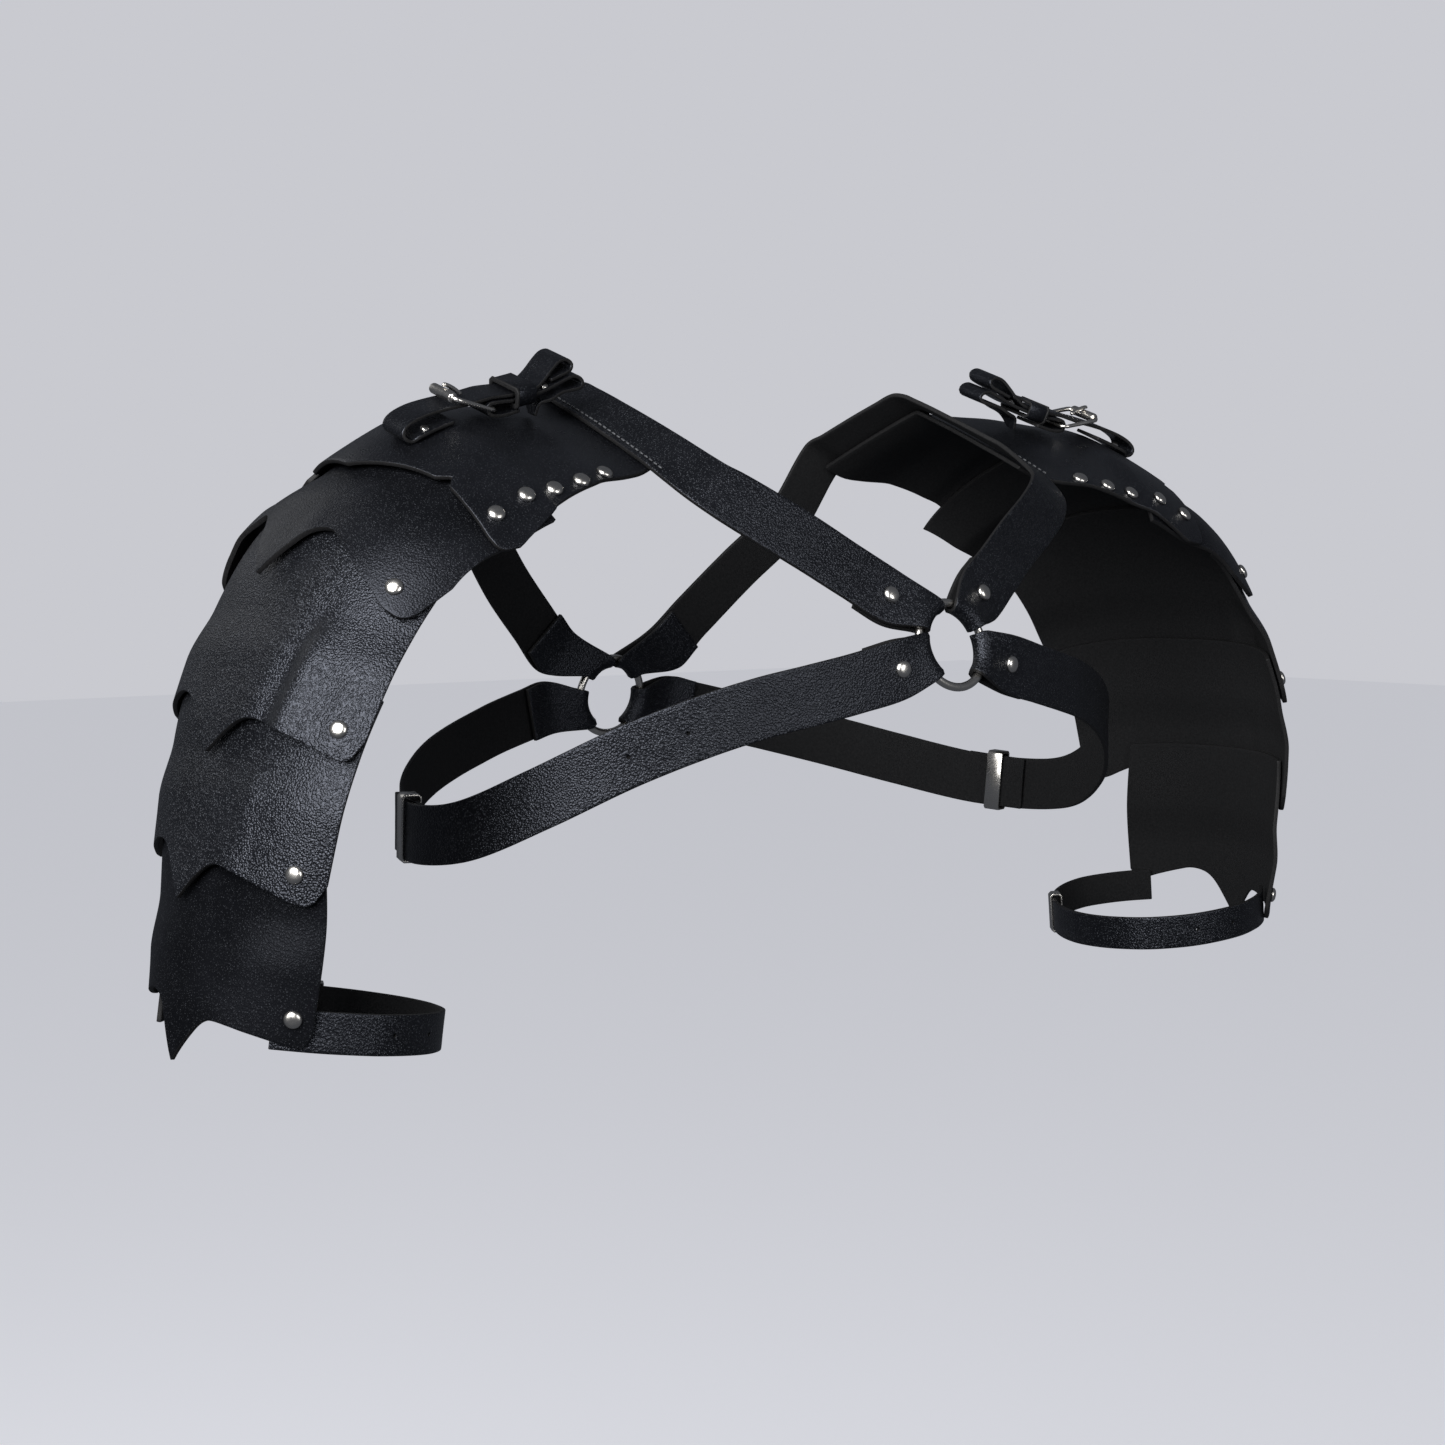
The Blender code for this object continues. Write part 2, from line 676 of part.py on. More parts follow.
def neck_rows(columns):
    """Rows of the neck strap's inner face and their normals, up the chest and over to the back."""
    shares = [column / (columns - 1) - 0.5 for column in range(columns)]
    over, over_normals = [], []
    for ahead in NECK_RESTS:
        depth = -ahead * SHOULDER_DEPTH
        spots = [spot_at(NECK_STRAP_X - share * STRAP_WIDTH * 0.88, depth) for share in shares]
        over.append([lifted(run, turn, LEATHER + 2 * GAP) for run, turn in spots])
        over_normals.append(shoulder_normal(*spots[columns // 2]))
    rows, normals = [], []
    for table, joined in ((NECK_FRONT, over[0]), (NECK_BACK, over[-1])):
        places = [station_place(row) for row in table]
        facings = [Vector((row.face_out, -row.face_ahead, row.face_up)) for row in table]
        middle = joined[columns // 2]
        places = places + [middle] if table is NECK_FRONT else [middle] + places
        facings = facings + over_normals[:1] if table is NECK_FRONT else over_normals[-1:] + facings
        made, made_normals = strap_rows(places, facings, STRAP_WIDTH, columns, LEATHER)
        if table is NECK_FRONT:
            rows, normals = made[:-1] + over, made_normals[:-1] + over_normals
        else:
            rows, normals = rows + made[1:], normals + made_normals[1:]
    return rows, normals


def hoop_path(rows, inwards):
    """The hoop's outer face at rows of the HOOP table, each moved inwards by a share of the leather."""
    places, facings = [], []
    for row, inward in zip(rows, inwards):
        angle = math.radians(row.angle)
        depth = CHEST_HALF_DEPTH + LEATHER if row.angle < 90 else BACK_HALF_DEPTH + 3 * LEATHER
        facing = Vector((math.sin(angle) / CHEST_HALF_WIDTH, -math.cos(angle) / depth, 0.0)).normalized()
        place = Vector((CHEST_HALF_WIDTH * math.sin(angle), -depth * math.cos(angle), 0.0))
        place.z = -CHEST_STRAP_TOP - CHEST_STRAP_DROP * row.fall
        places.append(place - facing * (inward * (LEATHER + GAP)))
        facings.append(facing)
    return places, facings


def arch_point(bend):
    """A point of the arch strap's middle line."""
    ahead = ARCH_AHEAD + ARCH_SLANT * bend.out * ARCH_SPAN
    return Vector((NECK_STRAP_X + bend.out * ARCH_SPAN, -ahead, ARCH_BASE_Z + bend.up * ARCH_RISE))


def arch_across():
    return Vector((0.0, math.cos(ARCH_LEAN), math.sin(ARCH_LEAN)))


def arch_rests(rests):
    """Points of the arch strap where it lies on the yoke, alone or over the neck strap."""
    places = []
    for rest in rests:
        flat = arch_point(Bend(rest.out, 0.0))
        run, turn = spot_at(flat.x, flat.y)
        raised = plate_lift(PLATES[0], turn_share(PLATES[0], turn, run), run)
        lift = raised + rest.layers * (LEATHER + 2 * GAP) + SHOULDER_LEATHER / 2 + GAP
        places.append(lifted(run, turn, lift))
    return places


def arch_rows(middles):
    across = arch_across()
    shares = (-0.5, 0.0, 0.5)
    return [[middle + across * (share * SHOULDER_STRAP_WIDTH) for share in shares] for middle in middles]


def heel_wrap():
    """The chape round the heel bar of the buckle, from above to beneath."""
    centre = arch_point(HEEL_BAR)
    reach = BUCKLE_WIRE + GAP + SHOULDER_LEATHER / 2
    places = []
    for tilt in (100, 55, 10, -35, -80):
        turn = math.radians(tilt)
        places.append(centre + Vector((math.cos(turn), 0.0, math.sin(turn))) * reach)
    return places


def band(name, side, centre, along, across, inner_width, inner_height, width, wall, finish):
    """A closed flat loop round a strap: along is the strap's way and across its width."""
    up = along.cross(across).normalized()
    half_width, half_height = inner_width / 2, inner_height / 2
    corner = min(half_height, 0.0012) * 0.55
    outline = []
    for way_across, way_up in ((1, -1), (1, 1), (-1, 1), (-1, -1)):
        first = (half_width, half_height - corner)
        second = (half_width - corner, half_height)
        pair = (first, second) if way_across * way_up > 0 else (second, first)
        outline += [(way_across * one, way_up * other) for one, other in pair]
    rows = [
        [centre + across * one + up * other + along * (share * width) for share in (-0.5, 0.5)]
        for one, other in outline
    ]
    return sheet(name, rows, side, wall, finish, closed=True)


def make_arch(side_name, leather, metal):
    side = SIDES[side_name]
    under = [arch_point(Bend(HEEL_BAR.out - back, HEEL_BAR.up - drop)) for back, drop in CHAPE_UNDER]
    chape = arch_rests(CHAPE_RESTS) + [arch_point(bend) for bend in CHAPE] + heel_wrap() + under
    sheet(f"shoulder_chape_{side_name}", arch_rows(chape), side, SHOULDER_LEATHER, leather, offset=0.0)
    billet = arch_rests(BILLET_RESTS) + [arch_point(bend) for bend in BILLET]
    sheet(f"shoulder_billet_{side_name}", arch_rows(billet), side, SHOULDER_LEATHER, leather, offset=0.0)
    across = arch_across()
    along = Vector((-1.0, ARCH_SLANT, -KEEPER_SLOPE * ARCH_RISE / ARCH_SPAN)).normalized()
    band(
        f"shoulder_keeper_{side_name}",
        side,
        arch_point(KEEPER),
        along,
        across,
        SHOULDER_STRAP_WIDTH + 4 * GAP,
        2 * SHOULDER_LEATHER + 4 * GAP,
        0.011,
        SHOULDER_LEATHER,
        leather,
    )
    heel, roller = arch_point(HEEL_BAR), arch_point(ROLLER_BAR)
    half = across * (SHOULDER_STRAP_WIDTH / 2 + BUCKLE_WIRE + 2 * GAP)
    outline, radii = [], []
    corner = (roller - heel).normalized() * 0.002
    inset = across * 0.002
    stops = (
        (heel - half + corner, 1.0),
        (heel - half + inset, 1.0),
        (heel + half - inset, 1.0),
        (heel + half + corner, 1.0),
        (roller + half - corner, 1.0),
        (roller + half - inset * 0.6, 1.0),
        (roller + half - inset * 0.9, ROLLER_RADIUS / BUCKLE_WIRE),
        (roller - half + inset * 0.9, ROLLER_RADIUS / BUCKLE_WIRE),
        (roller - half + inset * 0.6, 1.0),
        (roller - half - corner, 1.0),
    )
    for place, scale in stops:
        outline.append(place)
        radii.append(BUCKLE_WIRE * scale)
    tube(f"shoulder_buckle_{side_name}", outline, radii, 6, side, metal, True)
    above = Vector((0.0, -math.sin(ARCH_LEAN), math.cos(ARCH_LEAN)))
    thin = BUCKLE_WIRE * 0.75
    root = arch_point(BILLET[TONGUE_ROOT]) + above * (SHOULDER_LEATHER / 2 + thin + GAP)
    rest = roller + above * (ROLLER_RADIUS + thin + GAP)
    tip = rest + (rest - root) * 0.12 - above * thin
    tube(f"shoulder_tongue_{side_name}", [root, rest, tip], [thin, thin, thin * 0.6], 6, side, metal, False)


def make_arm_strap(side_name, leather, metal):
    side = SIDES[side_name]
    run = ARM_STRAP_RUN * PLATES_LENGTH
    middle = (shoulder_point(run, 0.5) + shoulder_point(run, 179.5)) / 2
    down = (shoulder_point(run + 0.01, 90) - shoulder_point(run - 0.01, 90)).normalized()
    loop = [middle.lerp(shoulder_point(run, row.turn), row.reach) for row in ARM_TURNS]
    rows = [[place + down * (share * ARM_STRAP_WIDTH) for share in (-0.5, 0.0, 0.5)] for place in loop]
    sheet(f"arm_strap_{side_name}", rows, side, LEATHER, leather)
    before, centre, after = (rows[ARM_BUCKLE + step][1] for step in (-1, 0, 1))
    along = (after - before).normalized()
    centre = (centre + after) / 2 + along.cross(down).normalized() * LEATHER / 2
    width, height = ARM_STRAP_WIDTH + 4 * GAP, LEATHER + 4 * GAP
    band(f"arm_buckle_{side_name}", side, centre, along, down, width, height, SLIDE_WIDTH, SLIDE_WALL, metal)


def make_straps(side_name, leather, metal):
    side = SIDES[side_name]
    rows, normals = neck_rows(5)
    front, back = (True, 50, 28), (False, 60, 26)
    ring_strap(f"neck_strap_{side_name}", side, rows, normals, leather, starts=front, ends=back)
    stud = rows[0][2].lerp(rows[1][2], 0.1) + normals[0] * (LEATHER + GAP)
    rivet(f"neck_ring_rivet_{side_name}", stud, normals[0], side, metal)
    meets = HOOP[HOOP_MEETS_FIRST:HOOP_MEETS_LAST + 1]
    front = HOOP[: HOOP_MEETS_LAST + 1]
    places, facings = hoop_path(front, [0.0] * len(front))
    rows, normals = strap_rows(places, facings, STRAP_WIDTH, 5, LEATHER)
    ring_strap(f"chest_strap_{side_name}", side, rows, normals, leather, starts=(True, -17, 33))
    stud = rows[0][2] + normals[0] * LEATHER
    rivet(f"chest_ring_rivet_{side_name}", stud, normals[0], side, metal)
    back = HOOP[HOOP_MEETS_FIRST:]
    inwards = [1.0] * len(meets) + [0.8] + [0.0] * (len(back) - len(meets) - 1)
    places, facings = hoop_path(back, inwards)
    rows, normals = strap_rows(places, facings, STRAP_WIDTH, 3, LEATHER)
    ring_strap(f"back_strap_{side_name}", side, rows, normals, leather, ends=(False, -22, 33))
    middle = [Hoop((meets[0].angle + meets[1].angle) / 2, (meets[0].fall + meets[1].fall) / 2)]
    places, facings = hoop_path(middle, [0.5])
    ends, _ = hoop_path(meets, [0.5, 0.5])
    along = (ends[1] - ends[0]).normalized()
    across = facings[0].cross(along).normalized()
    band(
        f"chest_buckle_{side_name}",
        side,
        places[0] - facings[0] * LEATHER,
        along,
        across,
        STRAP_WIDTH + 4 * GAP,
        2 * LEATHER + 5 * GAP,
        SLIDE_WIDTH,
        SLIDE_WALL,
        metal,
    )


def main():
    clear_scene()
    leather = material("black leather", (0.012, 0.012, 0.014), 0.5)
    metal = material("nickel", (0.62, 0.62, 0.60), 0.25, 1.0)
    for side_name in SIDES:
        plates = [make_plate(plate, side_name, leather) for plate in PLATES]
        make_plate_rivets(side_name, plates, metal)
        make_straps(side_name, leather, metal)
        make_arch(side_name, leather, metal)
        make_arm_strap(side_name, leather, metal)
    for name, front in (("front_ring", True), ("back_ring", False)):
        centre, sideways, upwards, _ = ring_frame(front)
        turns = [2 * math.pi * step / 24 for step in range(24)]
        spokes = [sideways * math.cos(turn) + upwards * math.sin(turn) for turn in turns]
        outline = [centre + spoke * RING_RADIUS for spoke in spokes]
        tube(name, outline, [RING_WIRE] * 24, 6, 1, metal, True)


main()
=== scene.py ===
import math
import random
from collections import namedtuple

import bmesh
import bpy
from mathutils import Matrix, Vector, noise


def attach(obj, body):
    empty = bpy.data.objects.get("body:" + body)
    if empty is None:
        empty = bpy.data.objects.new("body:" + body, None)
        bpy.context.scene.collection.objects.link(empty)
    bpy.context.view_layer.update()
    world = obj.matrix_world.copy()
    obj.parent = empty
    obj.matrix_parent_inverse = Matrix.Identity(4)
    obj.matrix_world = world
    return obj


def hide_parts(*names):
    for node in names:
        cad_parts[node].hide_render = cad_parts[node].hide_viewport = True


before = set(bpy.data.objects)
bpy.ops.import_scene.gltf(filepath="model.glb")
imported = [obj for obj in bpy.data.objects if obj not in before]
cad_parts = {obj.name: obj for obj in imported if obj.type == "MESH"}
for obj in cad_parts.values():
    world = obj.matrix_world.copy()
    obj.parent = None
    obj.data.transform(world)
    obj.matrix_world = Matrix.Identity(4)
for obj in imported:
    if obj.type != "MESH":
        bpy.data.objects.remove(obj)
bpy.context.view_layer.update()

random.seed(7)

# Metres, front towards -Y, left towards +X. Pieces are shaped on the left side and mirrored.

leather = {"thickness": 0.0020, "gap": 0.0005, "strapWidth": 0.025, "armStrapWidth": 0.016,
           "foldBack": 0.026, "foldGaps": 1.6, "planShare": 0.88}
thick, gap = leather["thickness"], leather["gap"]
shoulder = {"innerX": 0.094, "reach": 0.212, "drop": 0.290, "depth": 0.080, "height": 0.066,
            "upright": 0.060}
plates = {"run": 0.378, "length": 0.090, "scallop": 0.020, "liftStart": 0.061, "liftEnd": 0.038,
          "flare": 0.0020, "lapGaps": 1.9}
torso = {"halfWidth": 0.182, "halfDepth": 0.125, "backDepth": 0.112, "top": 0.127, "drop": 0.065,
         "neckX": 0.1025}
ring = {"radius": 0.0182, "wire": 0.0018, "frontZ": -0.118, "backZ": -0.150, "frontLean": 15.5,
        "backLean": 8.0, "inset": 0.004}
arch = {"span": 0.110, "rise": 0.040, "lean": 18.0, "ahead": 0.0125, "slant": 0.095, "baseZ": -0.0390,
        "width": 0.015, "thickness": 0.0016}

# Sections of the surface that the plates lie on, from its inner edge outwards and down. They are shares of
# the sizes above, and roundness is an exponent
Section = namedtuple("Section", "out down forward depth height roundness")
sections = (
    Section(-0.035, 0.0265, -0.15, 1.00, 0.46, 1.05),
    Section(0.010, 0.043, -0.15, 1.00, 0.47, 1.05),
    Section(0.060, 0.057, -0.14, 1.00, 0.50, 1.05),
    Section(0.110, 0.064, -0.12, 1.00, 0.54, 1.06),
    Section(0.160, 0.066, -0.09, 1.00, 0.57, 1.12),
    Section(0.264, 0.070, -0.04, 1.00, 0.635, 1.30),
    Section(0.439, 0.092, 0.02, 0.99, 0.82, 1.52),
    Section(0.571, 0.150, 0.06, 0.98, 0.89, 1.80),
    Section(0.689, 0.224, 0.09, 0.98, 0.95, 2.25),
    Section(0.772, 0.303, 0.11, 0.98, 1.00, 2.40),
    Section(0.844, 0.421, 0.13, 0.99, 1.00, 2.70),
    Section(0.897, 0.541, 0.16, 0.96, 0.98, 2.80),
    Section(0.955, 0.734, 0.14, 0.88, 0.95, 2.20),
    Section(0.991, 0.924, 0.115, 0.67, 0.83, 2.00),
    Section(1.000, 1.000, 0.11, 0.66, 0.81, 2.00),
)


def smoothStep(share):
    share = min(1.0, max(0.0, share))
    return share * share * (3.0 - 2.0 * share)


def curveThrough(values, knots, place):  # smooth curve through values at rising knots
    last = len(knots) - 2
    index = 0
    while index < last and place > knots[index + 1]:
        index += 1
    before = max(0, index - 1)
    after = min(len(knots) - 1, index + 2)
    span = knots[index + 1] - knots[index]
    share = min(1.25, max(-0.25, (place - knots[index]) / span))
    leave = (values[index + 1] - values[before]) * (span / (knots[index + 1] - knots[before]))
    arrive = (values[after] - values[index]) * (span / (knots[after] - knots[index]))
    cube, square = share**3, share**2
    return (values[index] * (2 * cube - 3 * square + 1) + leave * (cube - 2 * square + share)
            + values[index + 1] * (3 * square - 2 * cube) + arrive * (cube - square))


crest = [Vector((shoulder["innerX"] + row.out * shoulder["reach"], 0.0, -row.down * shoulder["drop"]))
         for row in sections]
crestRuns = [0.0]
for firstPoint, secondPoint in zip(crest, crest[1:]):
    crestRuns.append(crestRuns[-1] + (secondPoint - firstPoint).length)
crestRuns = [run - crestRuns[1] for run in crestRuns]
sectionFields = [[row[field] for row in sections] for field in range(6)]


def shoulderPoint(run, turn):  # turn 0 is the front, 90 outwards, 180 the back
    middle = curveThrough(crest, crestRuns, run)
    along = (curveThrough(crest, crestRuns, run + 0.001) - middle).normalized()
    square = Vector((-along.z, 0.0, along.x))
    outward = Vector((0.0, 0.0, 1.0)).lerp(square, smoothStep(run / shoulder["upright"])).normalized()
    section = Section(*(curveThrough(field, crestRuns, run) for field in sectionFields))
    cosine = math.cos(math.radians(turn))
    across = min(0.9999, abs(cosine))
    rise = (1.0 - across**section.roundness) ** (1.0 / section.roundness)
    rise = math.copysign(rise, math.sin(math.radians(turn)))
    place = middle + outward * (section.height * shoulder["height"] * (rise - 1.0))
    place.y = -shoulder["depth"] * (section.forward + section.depth * math.copysign(across, cosine))
    return place


def shoulderNormal(run, turn):
    down = shoulderPoint(run + 0.002, turn) - shoulderPoint(run - 0.002, turn)
    back = shoulderPoint(run, turn + 1.5) - shoulderPoint(run, turn - 1.5)
    return down.cross(back).normalized()


def lifted(run, turn, lift):
    return shoulderPoint(run, turn) + shoulderNormal(run, turn) * lift


def turnAt(run, y):
    forward, depth = (curveThrough(sectionFields[field], crestRuns, run) for field in (2, 3))
    cosine = (-y / shoulder["depth"] - forward) / depth
    return math.degrees(math.acos(min(0.98, max(-0.98, cosine))))


def spotAt(x, y):  # run and turn of the shoulder's surface at a place seen from above
    low, high = crestRuns[0], 0.60 * crestRuns[-1]
    for _ in range(20):
        run = (low + high) / 2
        if shoulderPoint(run, turnAt(run, y)).x < x:
            low = run
        else:
            high = run
    return run, turnAt(run, y)


# Materials

def newMaterial(name):
    made = bpy.data.materials.new(name)
    made.use_nodes = True
    tree = made.node_tree
    return made, tree, tree.nodes["Principled BSDF"]


def addNode(tree, kind, settings=None, **links):  # links: by socket name, or by i and its number
    node = tree.nodes.new(kind)
    for key, value in (settings or {}).items():
        setattr(node, key, value)
    for key, value in links.items():
        numbered = key[0] == "i" and key[1:].isdigit()
        socket = node.inputs[int(key[1:]) if numbered else key.replace("_", " ")]
        if isinstance(value, bpy.types.NodeSocket):
            tree.links.new(value, socket)
        else:
            socket.default_value = value
    return node


def mathNode(tree, operation, first, second):
    return addNode(tree, "ShaderNodeMath", {"operation": operation}, i0=first, i1=second).outputs[0]


def noiseNode(tree, place, scale, detail, roughness):
    return addNode(tree, "ShaderNodeTexNoise", Vector=place, Scale=scale, Detail=detail,
                   Roughness=roughness).outputs["Fac"]


def ramp(tree, factor, *stops):  # two stops: place and colour
    node = addNode(tree, "ShaderNodeValToRGB", Fac=factor)
    for element, (place, colour) in zip(node.color_ramp.elements, stops):
        element.position, element.color = place, (*colour, 1)
    return node.outputs["Color"]


def grey(value):
    return (value, value, value)


leatherLook = {
    "dark": (0.0030, 0.0032, 0.0040),
    "light": (0.0065, 0.0069, 0.0086),
    # colour of the painted glints on the pebble tops
    "glintColour": (0.15, 0.16, 0.18),
    "pebbleScale": 1200.0,
    "fineScale": 3000.0,
    "fineHeight": 0.25,
    "broadScale": 28.0,
    "wearScale": 110.0,
    "wearHeight": 0.20,
    "warpScale": 240.0,
    "warp": 0.0012,
    "roughLow": 0.285,
    "roughHigh": 0.33,
    "specular": 0.50,
    "specularTint": (0.80, 0.85, 1.0, 1.0),
    "relief": 0.00027,
}


def grainLeather(name, grainAndGlint, gloss=0.0, shine=1.0):  # the second argument sets how deep the grain is and how strong the painted glints on its pebble tops are
    look = leatherLook
    made, tree, shader = newMaterial(name)
    place = addNode(tree, "ShaderNodeTexCoord").outputs["Object"]
    warp = addNode(tree, "ShaderNodeTexNoise", Vector=place, Scale=look["warpScale"], Detail=2.0)
    bent = addNode(tree, "ShaderNodeMix", {"data_type": "VECTOR"}, Factor=look["warp"], i4=place,
                   i5=warp.outputs["Color"])
    cells = addNode(tree, "ShaderNodeTexVoronoi", {"feature": "SMOOTH_F1"}, Vector=bent.outputs[1],
                    Scale=look["pebbleScale"], Smoothness=0.30).outputs["Distance"]
    fine = noiseNode(tree, place, look["fineScale"], 3.0, 0.6)
    broad = noiseNode(tree, place, look["broadScale"], 4.0, 0.55)
    wear = noiseNode(tree, place, look["wearScale"], 5.0, 0.65)
    shade = ramp(tree, broad, (0.35, look["dark"]), (0.70, look["light"]))
    # Lighter specks on the pebble tops, in patches: painted glints that stand in for the sparkle of the
    # lamps on the grain
    glintTops = ramp(tree, cells, (0.16, grey(1.0)), (0.42, grey(0.0)))
    glintPatches = ramp(tree, fine, (0.50, grey(0.0)), (0.60, grey(1.0)))
    paintedGlint = mathNode(tree, "MULTIPLY", mathNode(tree, "MULTIPLY", glintTops, glintPatches), grainAndGlint)
    colour = addNode(tree, "ShaderNodeMix", {"data_type": "RGBA"}, Factor=paintedGlint, i6=shade,
                     i7=(*look["glintColour"], 1.0))
    tree.links.new(colour.outputs[2], shader.inputs["Base Color"])
    rough = ramp(tree, wear, (0.30, grey(look["roughLow"] - gloss)), (0.72, grey(look["roughHigh"] - gloss)))
    tree.links.new(rough, shader.inputs["Roughness"])
    shader.inputs["Specular IOR Level"].default_value = look["specular"] * shine
    shader.inputs["Specular Tint"].default_value = look["specularTint"]
    domes = ramp(tree, cells, (0.0, grey(1.0)), (0.75, grey(0.0)))
    height = mathNode(tree, "MULTIPLY", domes, grainAndGlint)
    for layer, share in ((fine, look["fineHeight"]), (wear, look["wearHeight"])):
        height = mathNode(tree, "ADD", height, mathNode(tree, "MULTIPLY", layer, share))
    bump = addNode(tree, "ShaderNodeBump", Strength=1.0, Distance=look["relief"], Height=height)
    tree.links.new(bump.outputs["Normal"], shader.inputs["Normal"])
    return made


def plainLeather(name, low, high, scale, rough, bumpDistance):  # cut edges, flesh side and thread
    made, tree, shader = newMaterial(name)
    place = addNode(tree, "ShaderNodeTexCoord").outputs["Object"]
    fibres = noiseNode(tree, place, scale, 5.0, 0.7)
    tree.links.new(ramp(tree, fibres, (0.32, low), (0.72, high)), shader.inputs["Base Color"])
    shader.inputs["Roughness"].default_value = rough
    shader.inputs["Specular IOR Level"].default_value = 0.25
    bump = addNode(tree, "ShaderNodeBump", Strength=0.8, Distance=bumpDistance, Height=fibres)
    tree.links.new(bump.outputs["Normal"], shader.inputs["Normal"])
    return made


def nickelMetal(name, colour, low, high):
    made, tree, shader = newMaterial(name)
    place = addNode(tree, "ShaderNodeTexCoord").outputs["Object"]
    haze = noiseNode(tree, place, 420.0, 4.0, 0.6)
    scratch = addNode(tree, "ShaderNodeTexNoise", Vector=place, Scale=2400.0, Detail=2.0, Distortion=1.5)
    dull = tuple(part * 0.86 for part in colour)
    tree.links.new(ramp(tree, haze, (0.28, dull), (0.55, colour)), shader.inputs["Base Color"])
    tree.links.new(ramp(tree, haze, (0.30, grey(high)), (0.70, grey(low))), shader.inputs["Roughness"])
    shader.inputs["Metallic"].default_value = 1.0
    bump = addNode(tree, "ShaderNodeBump", Strength=0.05, Distance=0.00003, Height=scratch.outputs["Fac"])
    tree.links.new(bump.outputs["Normal"], shader.inputs["Normal"])
    return made


# Copies of one grain leather. The lame 1 and lame 4 copies are darker, with fewer painted glints and less
# shine, standing in for the shade these plates lie in; lame 1's grain is also shallower
lameLeather = grainLeather("lame leather", 1.0)
shadedTopLameLeather = grainLeather("top lame leather", 0.45, -0.02, 0.65)
shadedLowLameLeather = grainLeather("shaded low lame leather", 0.30, -0.04, 0.18)
strapLeather = grainLeather("strap leather", 0.7, 0.0, 0.85)
yokeLeather = grainLeather("yoke leather", 0.30, 0.02)
fleshSide = plainLeather("leather flesh side", (0.0075, 0.0078, 0.0086), (0.017, 0.017, 0.018),
                         900.0, 0.90, 0.00020)
cutEdge = plainLeather("leather cut edge", (0.007, 0.007, 0.0077), (0.022, 0.0215, 0.022),
                       1500.0, 0.55, 0.00012)
thread = plainLeather("waxed thread", (0.030, 0.031, 0.034), (0.16, 0.165, 0.175), 1400.0, 0.40, 0.00010)
nickel = nickelMetal("nickel", (0.82, 0.79, 0.74), 0.22, 0.32)
print("materials made")


# Helpers

def deselect():
    bpy.ops.object.select_all(action="DESELECT")


def activate(piece):
    deselect()
    piece.select_set(True)
    bpy.context.view_layer.objects.active = piece


def applyModifiers(piece):
    activate(piece)
    for modifier in list(piece.modifiers):
        bpy.ops.object.modifier_apply(modifier=modifier.name)


def gridPiece(name, columns, rows, placeAt):  # placeAt takes a column and a row, counted from 0
    deselect()
    bpy.ops.mesh.primitive_grid_add(x_subdivisions=columns, y_subdivisions=rows, size=1.0)
    piece = bpy.context.active_object
    piece.name = name
    piece.data.name = name
    for vert in piece.data.vertices:
        vert.co = placeAt(round((vert.co.x + 0.5) * columns), round((0.5 - vert.co.y) * rows))
    return piece


def meshPiece(name, work, finish):
    bmesh.ops.recalc_face_normals(work, faces=work.faces)
    mesh = bpy.data.meshes.new(name)
    work.to_mesh(mesh)
    work.free()
    mesh.materials.append(finish)
    piece = bpy.data.objects.new(name, mesh)
    bpy.context.scene.collection.objects.link(piece)
    activate(piece)
    bpy.ops.object.shade_smooth()
    return piece


def leatherWall(piece, face, thickness, offset=1.0, bevel=0.0004, closed=False, inner=None):
    if closed:
        activate(piece)
        bpy.ops.object.mode_set(mode="EDIT")
        bpy.ops.mesh.select_all(action="SELECT")
        bpy.ops.mesh.remove_doubles(threshold=0.00002)
        bpy.ops.object.mode_set(mode="OBJECT")
    for finish in (face, inner or fleshSide, cutEdge):
        piece.data.materials.append(finish)
    wall = piece.modifiers.new("wall", "SOLIDIFY")
    wall.thickness, wall.offset = thickness, offset
    wall.material_offset, wall.material_offset_rim = 1, 2
    edge = piece.modifiers.new("rounded edge", "BEVEL")
    edge.width, edge.segments, edge.limit_method = bevel, 2, "ANGLE"
    edge.angle_limit = math.radians(55)
    applyModifiers(piece)
    bpy.ops.object.shade_smooth()
    return piece


def mirrorCopy(piece, name):
    copy = piece.copy()
    copy.data = piece.data.copy()
    copy.name = copy.data.name = name
    bpy.context.scene.collection.objects.link(copy)
    for vert in copy.data.vertices:
        vert.co.x = -vert.co.x
    copy.data.flip_normals()
    return copy


def settle(piece, slot, *nodes):
    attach(piece, "root")
    if nodes:
        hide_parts(*nodes)


def bothSides(piece, slot, *nodes):  # piece is named with _left at its end
    other = mirrorCopy(piece, piece.name.replace("_left", "_right"))
    settle(piece, slot, *(f"{node}_left" for node in nodes))
    settle(other, slot, *(f"{node}_right" for node in nodes))


def worn(place, size, height):  # soft unevenness of used leather
    return height * (0.5 + 0.5 * noise.noise(place / size))


# Plates

# Lower edge of a plate from its middle to its corner
EdgePoint = namedtuple("EdgePoint", "across hang")
edgeShape = (
    EdgePoint(0.00, 1.00),
    EdgePoint(0.10, 0.52),
    EdgePoint(0.21, 0.10),
    EdgePoint(0.31, 0.00),
    EdgePoint(0.42, 0.14),
    EdgePoint(0.53, 0.34),
    EdgePoint(0.63, 0.52),
    EdgePoint(0.75, 0.75),
    EdgePoint(0.87, 0.98),
    EdgePoint(0.95, 0.92),
    EdgePoint(1.00, 0.10),
)
edgeAcross = [point.across for point in edgeShape]
edgeHang = [point.hang for point in edgeShape]
archPlace, lobePlace = edgeAcross[3], edgeAcross[8]

